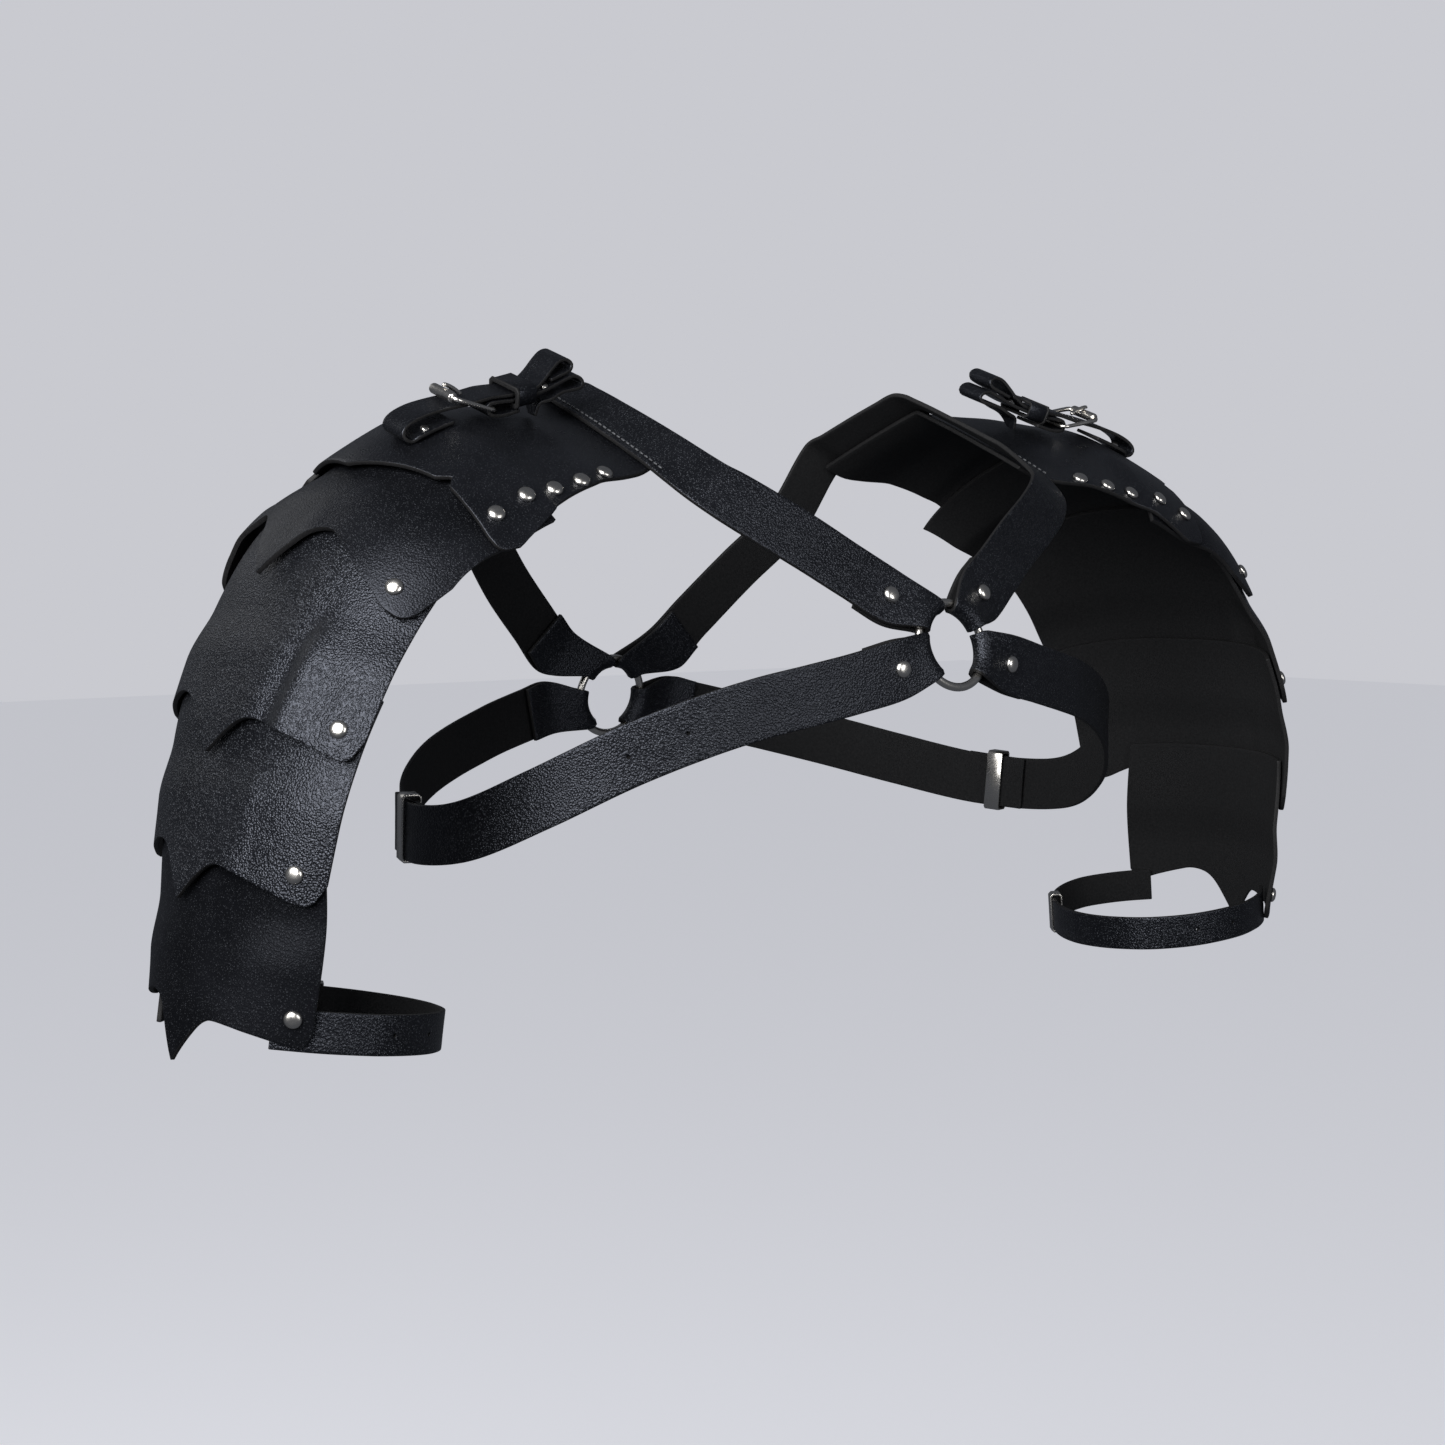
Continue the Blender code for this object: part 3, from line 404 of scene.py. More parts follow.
Plate = namedtuple("Plate", "name tip length tipTurn frontTop frontFoot "
                            "arch lobe tipHang cornerHang backRise")
plateTable = (
    Plate("yoke", 0.3545, 1.378, 87.0, 32.0, 20.0, 0.50, 0.87, 0.35, 0.55, 0.0),
    Plate("lame_1", 0.500, 1.022, 93.0, 21.0, 27.0, 0.31, 0.80, 1.10, 1.40, 0.65),
    Plate("lame_2", 0.689, 1.200, 93.0, 27.0, 33.0, 0.31, 0.87, 0.725, 0.50, 0.55),
    Plate("lame_3", 0.839, 0.978, 93.0, 31.0, 38.0, 0.31, 0.83, 0.75, 0.475, 0.45),
    Plate("lame_4", 1.000, 1.022, 84.0, 40.0, 28.0, 0.31, 0.88, 0.875, 0.30, 0.45),
)

# Folds worn into the plates. across and breadth are shares of the plate, height is a share of the leather
Fold = namedtuple("Fold", "plate across breadth height")
folds = (
    Fold("lame_2", -0.60, 0.15, 0.80),
    Fold("lame_3", -0.42, 0.12, 0.40),
    Fold("lame_1", 0.53, 0.12, 0.50),
    Fold("lame_1", 0.80, 0.55, 1.60),
)

# Slit where the yoke's arch meets its corner flap, as shares
notch = {"breadth": 0.045, "depth": 0.55}


def edgeRun(plate, side):  # run of the lower edge at a share from -1 (front) to 1 (back)
    share = abs(side)
    if share <= plate.arch:
        across = share / plate.arch * archPlace
    elif share <= plate.lobe:
        across = archPlace + (share - plate.arch) / (plate.lobe - plate.arch) * (lobePlace - archPlace)
    else:
        across = lobePlace + (share - plate.lobe) / (1.0 - plate.lobe) * (1.0 - lobePlace)
    depth = plate.tipHang if across <= archPlace else plate.cornerHang
    rise = plate.backRise * smoothStep(2 * share) if side > 0 else 0.0
    hang = curveThrough(edgeHang, edgeAcross, across)
    if plate.name == "yoke":
        hang -= notch["depth"] * max(0.0, 1.0 - abs(share - plate.arch) / notch["breadth"])
    return plate.tip * plates["run"] + plates["scallop"] * (depth * hang - plate.tipHang - rise)


def plateTop(plate):
    return plate.tip * plates["run"] - plate.length * plates["length"]


def plateReach(plate, run):
    share = (run - plateTop(plate)) / (plate.length * plates["length"])
    return plate.tipTurn - (plate.frontTop + (plate.frontFoot - plate.frontTop) * share)


def plateLift(plate, across, run):
    aboveTip = plate.tip * plates["run"] - run
    overNext = smoothStep((plates["liftStart"] - aboveTip) / (plates["liftStart"] - plates["liftEnd"]))
    flare = smoothStep((plates["liftEnd"] - aboveTip) / plates["liftEnd"]) * (1.0 - across * across)
    lift = overNext * (thick + plates["lapGaps"] * gap) + plates["flare"] * flare
    for fold in folds:
        if fold.plate == plate.name:
            ridge = max(0.0, 1.0 - abs(across - fold.across) / fold.breadth)
            lift += smoothStep(ridge) * overNext * fold.height * thick
    return lift


# Finer creases: a ridge or a valley that runs up from the lower edge. foot and head are shares of the
# plate, the sizes are metres
Crease = namedtuple("Crease", "plate foot head length width height")
creases = (
    Crease("lame_2", -0.53, -0.60, 0.056, 0.0048, 0.0024),
    Crease("lame_2", -0.38, -0.55, 0.072, 0.0060, -0.0016),
    Crease("lame_3", -0.33, -0.30, 0.030, 0.0050, 0.0006),
    Crease("lame_1", -0.20, -0.10, 0.030, 0.0060, 0.0005),
)


def creaseLift(plate, across, run, edge, reach):
    lift = 0.0
    for crease in creases:
        if crease.plate != plate.name:
            continue
        up = (edge - run) / crease.length
        if up > 1.0:
            continue
        middle = crease.foot + (crease.head - crease.foot) * max(0.0, up)
        away = (across - middle) * math.radians(reach) * shoulder["depth"] / crease.width
        lift += crease.height * math.exp(-away * away) * smoothStep(1.2 * (1.0 - up))
    return lift


plateMesh = {"columns": 168, "rows": 56, "raisedShare": 0.60, "waviness": 0.00026}
plateFaces = {"yoke": yokeLeather, "lame_1": shadedTopLameLeather, "lame_4": shadedLowLameLeather}


def makePlate(plate):
    columns, rows = plateMesh["columns"], plateMesh["rows"]
    top = plateTop(plate)
    raised = plate.tip * plates["run"] - plates["liftEnd"]
    split = plateMesh["raisedShare"]
    spots, base = [], []
    for row in range(rows + 1):
        spots.append([])
        base.append([])
        share = row / rows
        for column in range(columns + 1):
            across = 2.0 * column / columns - 1.0
            edge = edgeRun(plate, across)
            if share < split:
                run = top + (raised - top) * share / split
            else:
                run = raised + (edge - raised) * (share - split) / (1 - split)
            reach = plateReach(plate, run)
            spots[-1].append((run, across, edge, reach))
            base[-1].append(shoulderPoint(run, plate.tipTurn + across * reach))

    def placeAt(column, row):
        left, right = base[row][max(0, column - 1)], base[row][min(columns, column + 1)]
        upper, lower = base[max(0, row - 1)][column], base[min(rows, row + 1)][column]
        normal = (lower - upper).cross(right - left).normalized()
        run, across, edge, reach = spots[row][column]
        lift = plateLift(plate, across, run) + creaseLift(plate, across, run, edge, reach)
        point = base[row][column]
        lift += worn(point, 0.028, plateMesh["waviness"]) + worn(point, 0.009, plateMesh["waviness"] * 0.35)
        return point + normal * lift

    piece = gridPiece(f"{plate.name}_leather_left", columns, rows, placeAt)
    leatherWall(piece, plateFaces.get(plate.name, lameLeather), thick)
    bothSides(piece, "black_leather", plate.name)


for plate in plateTable:
    makePlate(plate)
print("plates made")


# Straps

strapMesh = {"columns": 9, "across": 16, "armAcross": 12, "spacing": 0.0018, "neckSpacing": 0.0016,
             "waviness": 0.0003, "armWaviness": 0.00025}

Station = namedtuple("Station", "out ahead down faceOut faceAhead faceUp")
neckFront = (
    Station(0.244, 0.904, 0.831, 0.12, 0.93, 0.34),
    Station(0.420, 0.852, 0.737, 0.15, 0.94, 0.30),
    Station(0.600, 0.800, 0.637, 0.17, 0.94, 0.28),
    Station(0.770, 0.756, 0.550, 0.20, 0.93, 0.30),
    Station(0.905, 0.704, 0.475, 0.28, 0.86, 0.42),
    Station(0.975, 0.640, 0.418, 0.38, 0.65, 0.65),
)
neckBack = (
    Station(0.900, -0.8036, 0.560, 0.30, -0.80, 0.50),
    Station(0.700, -0.9152, 0.760, 0.20, -0.93, 0.32),
    Station(0.470, -0.9821, 0.960, 0.12, -0.97, 0.20),
    Station(0.310, -1.0100, 1.090, 0.06, -0.98, 0.15),
)
neckRests = (0.70, 0.56, 0.42, 0.28, 0.14, 0.06, -0.02, -0.10, -0.18, -0.32, -0.48, -0.64, -0.79, -0.93)

Hoop = namedtuple("Hoop", "angle fall")
hoop = (
    Hoop(10.0, 0.00), Hoop(17.0, 0.08), Hoop(24.0, 0.15), Hoop(31.0, 0.22), Hoop(40.0, 0.34),
    Hoop(51.0, 0.52), Hoop(65.0, 0.78), Hoop(80.0, 1.00), Hoop(95.0, 1.06), Hoop(110.0, 1.02),
    Hoop(125.0, 0.90), Hoop(140.0, 0.74), Hoop(155.0, 0.57), Hoop(164.0, 0.47), Hoop(169.0, 0.42),
)
hoopMeets = (8, 9)  # rows of the hoop where the chest strap lies over the back strap

RingFold = namedtuple("RingFold", "front angle spread")  # degrees round the ring
neckFolds = (RingFold(True, 50, 28), RingFold(False, 60, 26))
chestFold, backFold = RingFold(True, -17, 33), RingFold(False, -22, 33)


def ringFrame(front):
    lean = math.radians(ring["frontLean"] if front else ring["backLean"])
    middle = Vector((0.0, torso["backDepth"], ring["backZ"]))
    if front:
        middle = Vector((0.0, ring["inset"] - torso["halfDepth"], ring["frontZ"]))
    facing = Vector((0.0, -math.cos(lean) if front else math.cos(lean), math.sin(lean)))
    sideways = Vector((1.0, 0.0, 0.0))
    upwards = facing.cross(sideways)
    return middle, sideways, upwards if upwards.z > 0 else -upwards, facing


def foldRows(front, angle, spread, columns):  # the leather round the ring's wire
    middle, sideways, upwards, facing = ringFrame(front)
    rows = []
    for tilt in (90, 112, 135, 158, 180, 202, 225, 248, 270):
        row = []
        for column in range(columns):
            turn = math.radians(angle + spread * (2 * column / (columns - 1) - 1))
            spoke = sideways * math.cos(turn) + upwards * math.sin(turn)
            around = spoke * math.cos(math.radians(tilt)) + facing * math.sin(math.radians(tilt))
            row.append(middle + spoke * ring["radius"] + around * (ring["wire"] + gap))
        rows.append(row)
    return rows


def strapRows(places, facings):
    columns, width = strapMesh["columns"], leather["strapWidth"]
    shares = [column / (columns - 1) - 0.5 for column in range(columns)]
    rows, normals = [], []
    for index, place in enumerate(places):
        along = places[min(len(places) - 1, index + 1)] - places[max(0, index - 1)]
        across = facings[index].cross(along).normalized()
        normal = along.cross(across).normalized()
        rows.append([place - normal * thick + across * (width * share) for share in shares])
        normals.append(normal)
    return rows, normals


def underRows(rows, normals):  # the leather folded back beneath the strap
    made, gone = [], 0.0
    middle = len(rows[0]) // 2
    for index, (row, normal) in enumerate(zip(rows, normals)):
        below = [point - normal * gap * leather["foldGaps"] for point in row]
        if index == 0:
            made.append(below)
            gone += ring["radius"] * 0.6
            continue
        step = (row[middle] - rows[index - 1][middle]).length
        if gone + step > leather["foldBack"]:
            share = (leather["foldBack"] - gone) / step
            made.append([old.lerp(new, share) for old, new in zip(made[-1], below)])
            return made
        gone += step
        made.append(below)
    return made


def neckRows():
    columns = strapMesh["columns"]
    shares = [column / (columns - 1) - 0.5 for column in range(columns)]
    width = leather["strapWidth"] * leather["planShare"]
    over, overNormals = [], []
    for ahead in neckRests:
        spots = [spotAt(torso["neckX"] - share * width, -ahead * shoulder["depth"]) for share in shares]
        over.append([lifted(run, turn, thick + 2 * gap) for run, turn in spots])
        overNormals.append(shoulderNormal(*spots[columns // 2]))
    rows, normals = [], []
    for table, joined in ((neckFront, over[0]), (neckBack, over[-1])):
        halfDepth = torso["halfDepth"] if table is neckFront else torso["backDepth"]
        places = [Vector((row.out * torso["neckX"], -row.ahead * halfDepth, row.down * ring["frontZ"]))
                  for row in table]
        facings = [Vector((row.faceOut, -row.faceAhead, row.faceUp)) for row in table]
        middle = joined[columns // 2]
        places = places + [middle] if table is neckFront else [middle] + places
        facings = facings + overNormals[:1] if table is neckFront else overNormals[-1:] + facings
        made, madeNormals = strapRows(places, facings)
        if table is neckFront:
            rows, normals = made[:-1] + over, madeNormals[:-1] + overNormals
        else:
            rows, normals = rows + made[1:], normals + madeNormals[1:]
    return rows, normals


def hoopPath(rows, inwards):
    places, facings = [], []
    for row, inward in zip(rows, inwards):
        angle = math.radians(row.angle)
        depth = torso["halfDepth"] + thick if row.angle < 90 else torso["backDepth"] + 3 * thick
        facing = Vector((math.sin(angle) / torso["halfWidth"], -math.cos(angle) / depth, 0.0)).normalized()
        place = Vector((torso["halfWidth"] * math.sin(angle), -depth * math.cos(angle), 0.0))
        place.z = -torso["top"] - torso["drop"] * row.fall
        places.append(place - facing * (inward * (thick + gap)))
        facings.append(facing)
    return places, facings


def fineRows(rows, spacing):  # smooth rows through the given ones, at an even spacing
    middle = len(rows[0]) // 2
    knots = [0.0]
    for one, other in zip(rows, rows[1:]):
        knots.append(knots[-1] + max(0.00005, (other[middle] - one[middle]).length))
    count = max(2, round(knots[-1] / spacing))
    stops = [knots[-1] * step / count for step in range(count + 1)]
    columns = list(zip(*rows))
    return [[curveThrough(column, knots, stop) for column in columns] for stop in stops]


def leatherFromRows(name, rows, face, thickness, across, spacing, offset=1.0, wavy=0.0, inner=None):
    fine = fineRows(rows, spacing)
    knots = [column / (len(rows[0]) - 1) for column in range(len(rows[0]))]
    grid = [[curveThrough(row, knots, column / across) for column in range(across + 1)] for row in fine]

    def placeAt(column, row):
        point = grid[row][column]
        if wavy == 0.0:
            return point
        left, right = grid[row][max(0, column - 1)], grid[row][min(across, column + 1)]
        upper, lower = grid[max(0, row - 1)][column], grid[min(len(grid) - 1, row + 1)][column]
        normal = (lower - upper).cross(right - left).normalized()
        return point + normal * (worn(point, 0.022, wavy) + worn(point, 0.006, wavy * 0.35))

    piece = gridPiece(name, across, len(grid) - 1, placeAt)
    return leatherWall(piece, face, thickness, offset, inner=inner)


def ringStrapRows(rows, normals, starts=None, ends=None):
    columns = len(rows[0])
    whole = list(rows)
    if starts:
        whole = list(reversed(underRows(rows, normals))) + list(reversed(foldRows(*starts, columns))) + whole
    if ends:
        whole = whole + foldRows(*ends, columns) + underRows(list(reversed(rows)), list(reversed(normals)))
    return whole


def strapPiece(node, rows, across=strapMesh["across"], spacing=strapMesh["spacing"],
               wavy=strapMesh["waviness"]):
    return leatherFromRows(f"{node}_leather_left", rows, strapLeather, thick, across, spacing, wavy=wavy)


holes = {"radius": 0.0008, "through": 0.012, "blind": 0.0022, "chestShares": (0.15, 0.95),
         "armShares": (0.1, 1.0)}


def punchHoles(piece, ends, shares, facing, depth):  # at shares of the way between two places
    turned = facing.to_track_quat("Z", "Y").to_euler()
    for share in shares:
        deselect()
        bpy.ops.mesh.primitive_cylinder_add(vertices=20, radius=holes["radius"], depth=depth,
                                            location=ends[0].lerp(ends[1], share), rotation=turned)
        cutter = bpy.context.active_object
        cutter.data.materials.append(cutEdge)
        punch = piece.modifiers.new("hole", "BOOLEAN")
        punch.operation, punch.solver, punch.object = "DIFFERENCE", "EXACT", cutter
        applyModifiers(piece)
        bpy.data.objects.remove(cutter, do_unlink=True)


neckGrid, neckNormals = neckRows()
neckWhole = ringStrapRows(neckGrid, neckNormals, *neckFolds)
neckStrap = strapPiece("neck_strap", neckWhole, spacing=strapMesh["neckSpacing"])
bothSides(neckStrap, "black_leather", "neck_strap")

frontHoop = hoop[: hoopMeets[1] + 1]
chestPlaces, chestFacings = hoopPath(frontHoop, [0.0] * len(frontHoop))
chestGrid, chestNormals = strapRows(chestPlaces, chestFacings)
chestStrap = strapPiece("chest_strap", ringStrapRows(chestGrid, chestNormals, starts=chestFold))
punchHoles(chestStrap, chestPlaces[4:6], holes["chestShares"], chestFacings[4], holes["blind"])
bothSides(chestStrap, "black_leather", "chest_strap")

backHoop = hoop[hoopMeets[0]:]
backPlaces, backFacings = hoopPath(backHoop, [1.0, 1.0, 0.8] + [0.0] * (len(backHoop) - 3))
backGrid, backNormals = strapRows(backPlaces, backFacings)
backStrap = strapPiece("back_strap", ringStrapRows(backGrid, backNormals, ends=backFold))
bothSides(backStrap, "black_leather", "back_strap")

ArmTurn = namedtuple("ArmTurn", "turn reach")
armTurns = (
    ArmTurn(46, 1.00), ArmTurn(32, 1.00), ArmTurn(18, 1.00), ArmTurn(0, 1.00), ArmTurn(-22, 0.97),
    ArmTurn(-45, 0.92), ArmTurn(-68, 0.85), ArmTurn(-90, 0.80), ArmTurn(-112, 0.76), ArmTurn(-135, 0.76),
    ArmTurn(-158, 0.82), ArmTurn(-180, 0.92), ArmTurn(-194, 0.99), ArmTurn(-206, 1.00), ArmTurn(-219, 1.00),
    ArmTurn(-232, 1.00),
)
armLoop = {"run": 0.955, "buckle": 9}
armRun = armLoop["run"] * plates["run"]
armMiddle = (shoulderPoint(armRun, 0.5) + shoulderPoint(armRun, 179.5)) / 2
armDown = (shoulderPoint(armRun + 0.01, 90) - shoulderPoint(armRun - 0.01, 90)).normalized()
armPath = [armMiddle.lerp(shoulderPoint(armRun, row.turn), row.reach) for row in armTurns]
armShares = [share * leather["armStrapWidth"] for share in (-0.5, 0.0, 0.5)]
armGrid = [[place + armDown * share for share in armShares] for place in armPath]
armStrap = strapPiece("arm_strap", armGrid, strapMesh["armAcross"], wavy=strapMesh["armWaviness"])
armAlong = (armPath[4] - armPath[3]).normalized()
punchHoles(armStrap, armPath[3:5], holes["armShares"], armAlong.cross(armDown), holes["through"])
bothSides(armStrap, "black_leather", "arm_strap")
print("straps made")


# Buckled strap over each shoulder

Bend = namedtuple("Bend", "out up")
chapeBends = (
    Bend(0.335, 0.560), Bend(0.285, 0.630), Bend(0.235, 0.700), Bend(0.180, 0.735), Bend(0.142, 0.760),
    Bend(0.130, 0.800), Bend(0.142, 0.845), Bend(0.175, 0.868), Bend(0.215, 0.830), Bend(0.261, 0.775),
    Bend(0.323, 0.705), Bend(0.390, 0.650), Bend(0.485, 0.590), Bend(0.530, 0.575),
)
billetBends = (
    Bend(0.955, 0.150), Bend(0.985, 0.165), Bend(1.000, 0.215), Bend(0.990, 0.280), Bend(0.950, 0.355),
    Bend(0.880, 0.430), Bend(0.768, 0.505), Bend(0.690, 0.545), Bend(0.625, 0.590), Bend(0.577, 0.622),
    Bend(0.485, 0.655), Bend(0.375, 0.722), Bend(0.330, 0.810), Bend(0.285, 0.935), Bend(0.250, 1.015),
    Bend(0.215, 1.040), Bend(0.185, 1.000), Bend(0.188, 0.940), Bend(0.215, 0.898), Bend(0.260, 0.848),
    Bend(0.290, 0.815),
)
Rest = namedtuple("Rest", "out layers")
chapeRests = (Rest(0.350, 0.75),)
billetRests = (Rest(0.760, 0.75), Rest(0.830, 0.80), Rest(0.900, 0.95))
buckle = {"heel": Bend(0.577, 0.500), "roller": Bend(0.768, 0.600), "wire": 0.0011, "heelShare": 0.8,
          "corner": 0.002, "rollerRadius": 0.0022, "rollerShare": 0.78, "tongueRow": 7, "tongueShare": 0.75,
          "tongueBow": 0.0004, "tonguePast": 0.12, "keeper": Bend(0.430, 0.654), "keeperSlope": -0.66,
          "keeperWidth": 0.011, "rim": 0.0012}
slide = {"width": 0.008, "wall": 0.0012}


def archPoint(bend):
    ahead = arch["ahead"] + arch["slant"] * bend.out * arch["span"]
    return Vector((torso["neckX"] + bend.out * arch["span"], -ahead, arch["baseZ"] + bend.up * arch["rise"]))


archLean = math.radians(arch["lean"])
archAcross = Vector((0.0, math.cos(archLean), math.sin(archLean)))
archAbove = Vector((0.0, -math.sin(archLean), math.cos(archLean)))


def archRests(rests):
    places = []
    for rest in rests:
        flat = archPoint(Bend(rest.out, 0.0))
        run, turn = spotAt(flat.x, flat.y)
        share = (turn - plateTable[0].tipTurn) / plateReach(plateTable[0], run)
        lift = plateLift(plateTable[0], share, run) + rest.layers * (thick + 2 * gap)
        places.append(lifted(run, turn, lift + arch["thickness"] / 2 + gap))
    return places


def archRows(middles, tapers=()):  # tapers: width shares of the first rows
    widths = [arch["width"] * taper for taper in tapers] + [arch["width"]] * (len(middles) - len(tapers))
    return [[middle + archAcross * (share * width) for share in (-0.5, 0.0, 0.5)]
            for middle, width in zip(middles, widths)]


def heelWrap():
    reach = buckle["wire"] + gap + arch["thickness"] / 2
    turns = [math.radians(tilt) for tilt in (100, 55, 10, -35, -80)]
    middle = archPoint(buckle["heel"])
    return [middle + Vector((math.cos(turn), 0.0, math.sin(turn))) * reach for turn in turns]


underTurns = ((0.05, 0.055), (0.13, 0.0))
under = [archPoint(Bend(buckle["heel"].out - back, buckle["heel"].up - drop)) for back, drop in underTurns]
chape = archRests(chapeRests) + [archPoint(bend) for bend in chapeBends] + heelWrap() + under
billet = archRests(billetRests) + [archPoint(bend) for bend in billetBends]
for node, rows in (("shoulder_chape", archRows(chape, (0.3, 0.75))), ("shoulder_billet", archRows(billet))):
    piece = leatherFromRows(f"{node}_leather_left", rows, yokeLeather, arch["thickness"], 10, 0.0012,
                            offset=0.0, wavy=0.0002, inner=yokeLeather)
    bothSides(piece, "black_leather", node)


def bandRows(middle, along, across, innerWidth, innerHeight, width):
    up = along.cross(across).normalized()
    halfWidth, halfHeight = innerWidth / 2, innerHeight / 2
    corner = min(halfHeight, 0.0012) * 0.55
    outline = []
    for wayAcross, wayUp in ((1, -1), (1, 1), (-1, 1), (-1, -1)):
        pair = ((halfWidth, halfHeight - corner), (halfWidth - corner, halfHeight))
        for one, other in pair if wayAcross * wayUp > 0 else reversed(pair):
            outline.append((wayAcross * one, wayUp * other))
    return [[middle + across * one + up * other + along * (share * width) for share in (-0.5, 0.5)]
            for one, other in outline]


def bandPiece(name, rows, finish, wall):
    count = len(rows)
    piece = gridPiece(name, 1, count, lambda column, row: rows[row % count][column])
    leatherWall(piece, finish, wall, bevel=0.0003, closed=True)
    return piece


keeperRise = -buckle["keeperSlope"] * arch["rise"] / arch["span"]
keeperAlong = Vector((-1.0, arch["slant"], keeperRise)).normalized()
keeperMiddle = archPoint(buckle["keeper"])


def keeperBand(name, middle, clearance, width, finish):
    rows = bandRows(middle, keeperAlong, archAcross, arch["width"] + clearance,
                    2 * arch["thickness"] + clearance, width)
    return bandPiece(name, rows, finish, arch["thickness"])


keeperWidth = buckle["keeperWidth"]
keeper = keeperBand("shoulder_keeper_leather_left", keeperMiddle, 4 * gap, keeperWidth, yokeLeather)
bothSides(keeper, "black_leather", "shoulder_keeper")
rimMiddle = keeperMiddle - keeperAlong * (keeperWidth / 2 - buckle["rim"] / 2)
bothSides(keeperBand("keeper_rim_left", rimMiddle, 6 * gap, buckle["rim"], cutEdge), "black_leather")


# Metalwork

def metalTube(name, centres, radii, sides, closed):  # a bar swept along points
    work = bmesh.new()
    rings, previous, count = [], None, len(centres)
    for index, centre in enumerate(centres):
        behind = centres[index - 1] if closed or index else centre
        ahead = centres[(index + 1) % count] if closed or index + 1 < count else centre
        along = (ahead - behind).normalized()
        previous = previous or along.orthogonal()
        first = (previous - along * previous.dot(along)).normalized()
        second = along.cross(first)
        previous = first
        turns = [2 * math.pi * step / sides for step in range(sides)]
        spokes = [first * math.cos(turn) + second * math.sin(turn) for turn in turns]
        rings.append([work.verts.new(centre + spoke * radii[index]) for spoke in spokes])
    pairs = list(zip(rings, rings[1:]))
    if closed:
        pairs.append((rings[-1], rings[0]))
    else:
        work.faces.new(rings[0])
        work.faces.new(rings[-1])
    for one, other in pairs:
        for step in range(sides):
            following = (step + 1) % sides
            work.faces.new((one[step], one[following], other[following], other[step]))
    return meshPiece(name, work, nickel)


def smoothLoop(stops, closed, count):  # stops: place and radius; a finer path through them
    whole = list(stops) + ([stops[0]] if closed else [])
    knots = [0.0]
    for one, other in zip(whole, whole[1:]):
        knots.append(knots[-1] + max(0.0001, (other[0] - one[0]).length))
    shares = [knots[-1] * step / count for step in range(count if closed else count + 1)]
    return ([curveThrough([stop[0] for stop in whole], knots, share) for share in shares],
            [curveThrough([stop[1] for stop in whole], knots, share) for share in shares])


heel, roller = archPoint(buckle["heel"]), archPoint(buckle["roller"])
half = archAcross * (arch["width"] / 2 + buckle["wire"] + 2 * gap)
corner, inset = (roller - heel).normalized() * buckle["corner"], archAcross * buckle["corner"]
wire = buckle["wire"]
heelWire = wire * buckle["heelShare"]
frameStops = (
    (heel - half + corner, heelWire), (heel - half + inset, heelWire), (heel + half - inset, heelWire),
    (heel + half + corner, heelWire), (roller + half - corner, wire), (roller + half - inset, wire),
    (roller - half + inset, wire), (roller - half - corner, wire),
)
frameBar = metalTube("buckle_frame_left", *smoothLoop(frameStops, True, 72), 14, True)
bothSides(frameBar, "nickel", "shoulder_buckle")

rollerEnds = [roller + half * (side * buckle["rollerShare"]) for side in (-1, 1)]
rollerPath = [rollerEnds[0].lerp(rollerEnds[1], share) for share in (0.0, 0.03, 0.06, 0.5, 0.94, 0.97, 1.0)]
rollerRadii = [buckle["rollerRadius"] * share for share in (0.86, 0.96, 1.0, 1.0, 1.0, 0.96, 0.86)]
bothSides(metalTube("buckle_roller_left", rollerPath, rollerRadii, 32, False), "nickel")

thin = wire * buckle["tongueShare"]
tongueRoot = archPoint(billetBends[buckle["tongueRow"]])
tongueRoot += archAbove * (arch["thickness"] / 2 + thin + gap)
tongueRest = roller + archAbove * (buckle["rollerRadius"] + thin + gap)
tongueTip = tongueRest + (tongueRest - tongueRoot) * buckle["tonguePast"] - archAbove * thin
tongueMiddle = tongueRoot.lerp(tongueRest, 0.5) + archAbove * buckle["tongueBow"]
tongueStops = ((tongueRoot, thin), (tongueMiddle, thin * 1.15), (tongueRest, thin), (tongueTip, thin * 0.6))
tongue = metalTube("buckle_tongue_left", *smoothLoop(tongueStops, False, 24), 12, False)
bothSides(tongue, "nickel", "shoulder_tongue")


def slidePiece(name, middle, along, across, innerWidth, innerHeight, node):
    rows = bandRows(middle, along, across, innerWidth, innerHeight, slide["width"])
    piece = bandPiece(name, rows, nickel, slide["wall"])
    piece.data.materials.clear()
    piece.data.materials.append(nickel)
    for face in piece.data.polygons:
        face.material_index = 0
    bothSides(piece, "nickel", node)


meets = [hoop[index] for index in hoopMeets]
meetMiddle = [Hoop((meets[0].angle + meets[1].angle) / 2, (meets[0].fall + meets[1].fall) / 2)]
meetPlaces, meetFacings = hoopPath(meetMiddle, [0.5])
meetEnds, _ = hoopPath(meets, [0.5, 0.5])
meetAlong = (meetEnds[1] - meetEnds[0]).normalized()
slidePiece("chest_slide_left", meetPlaces[0] - meetFacings[0] * thick, meetAlong,
           meetFacings[0].cross(meetAlong).normalized(), leather["strapWidth"] + 4 * gap,
           2 * thick + 5 * gap, "chest_buckle")
armBefore, armCentre, armAfter = (armPath[armLoop["buckle"] + step] for step in (-1, 0, 1))
armWay = (armAfter - armBefore).normalized()
armSlide = (armCentre + armAfter) / 2 + armWay.cross(armDown).normalized() * thick / 2
slidePiece("arm_slide_left", armSlide, armWay, armDown, leather["armStrapWidth"] + 4 * gap, thick + 4 * gap,
           "arm_buckle")

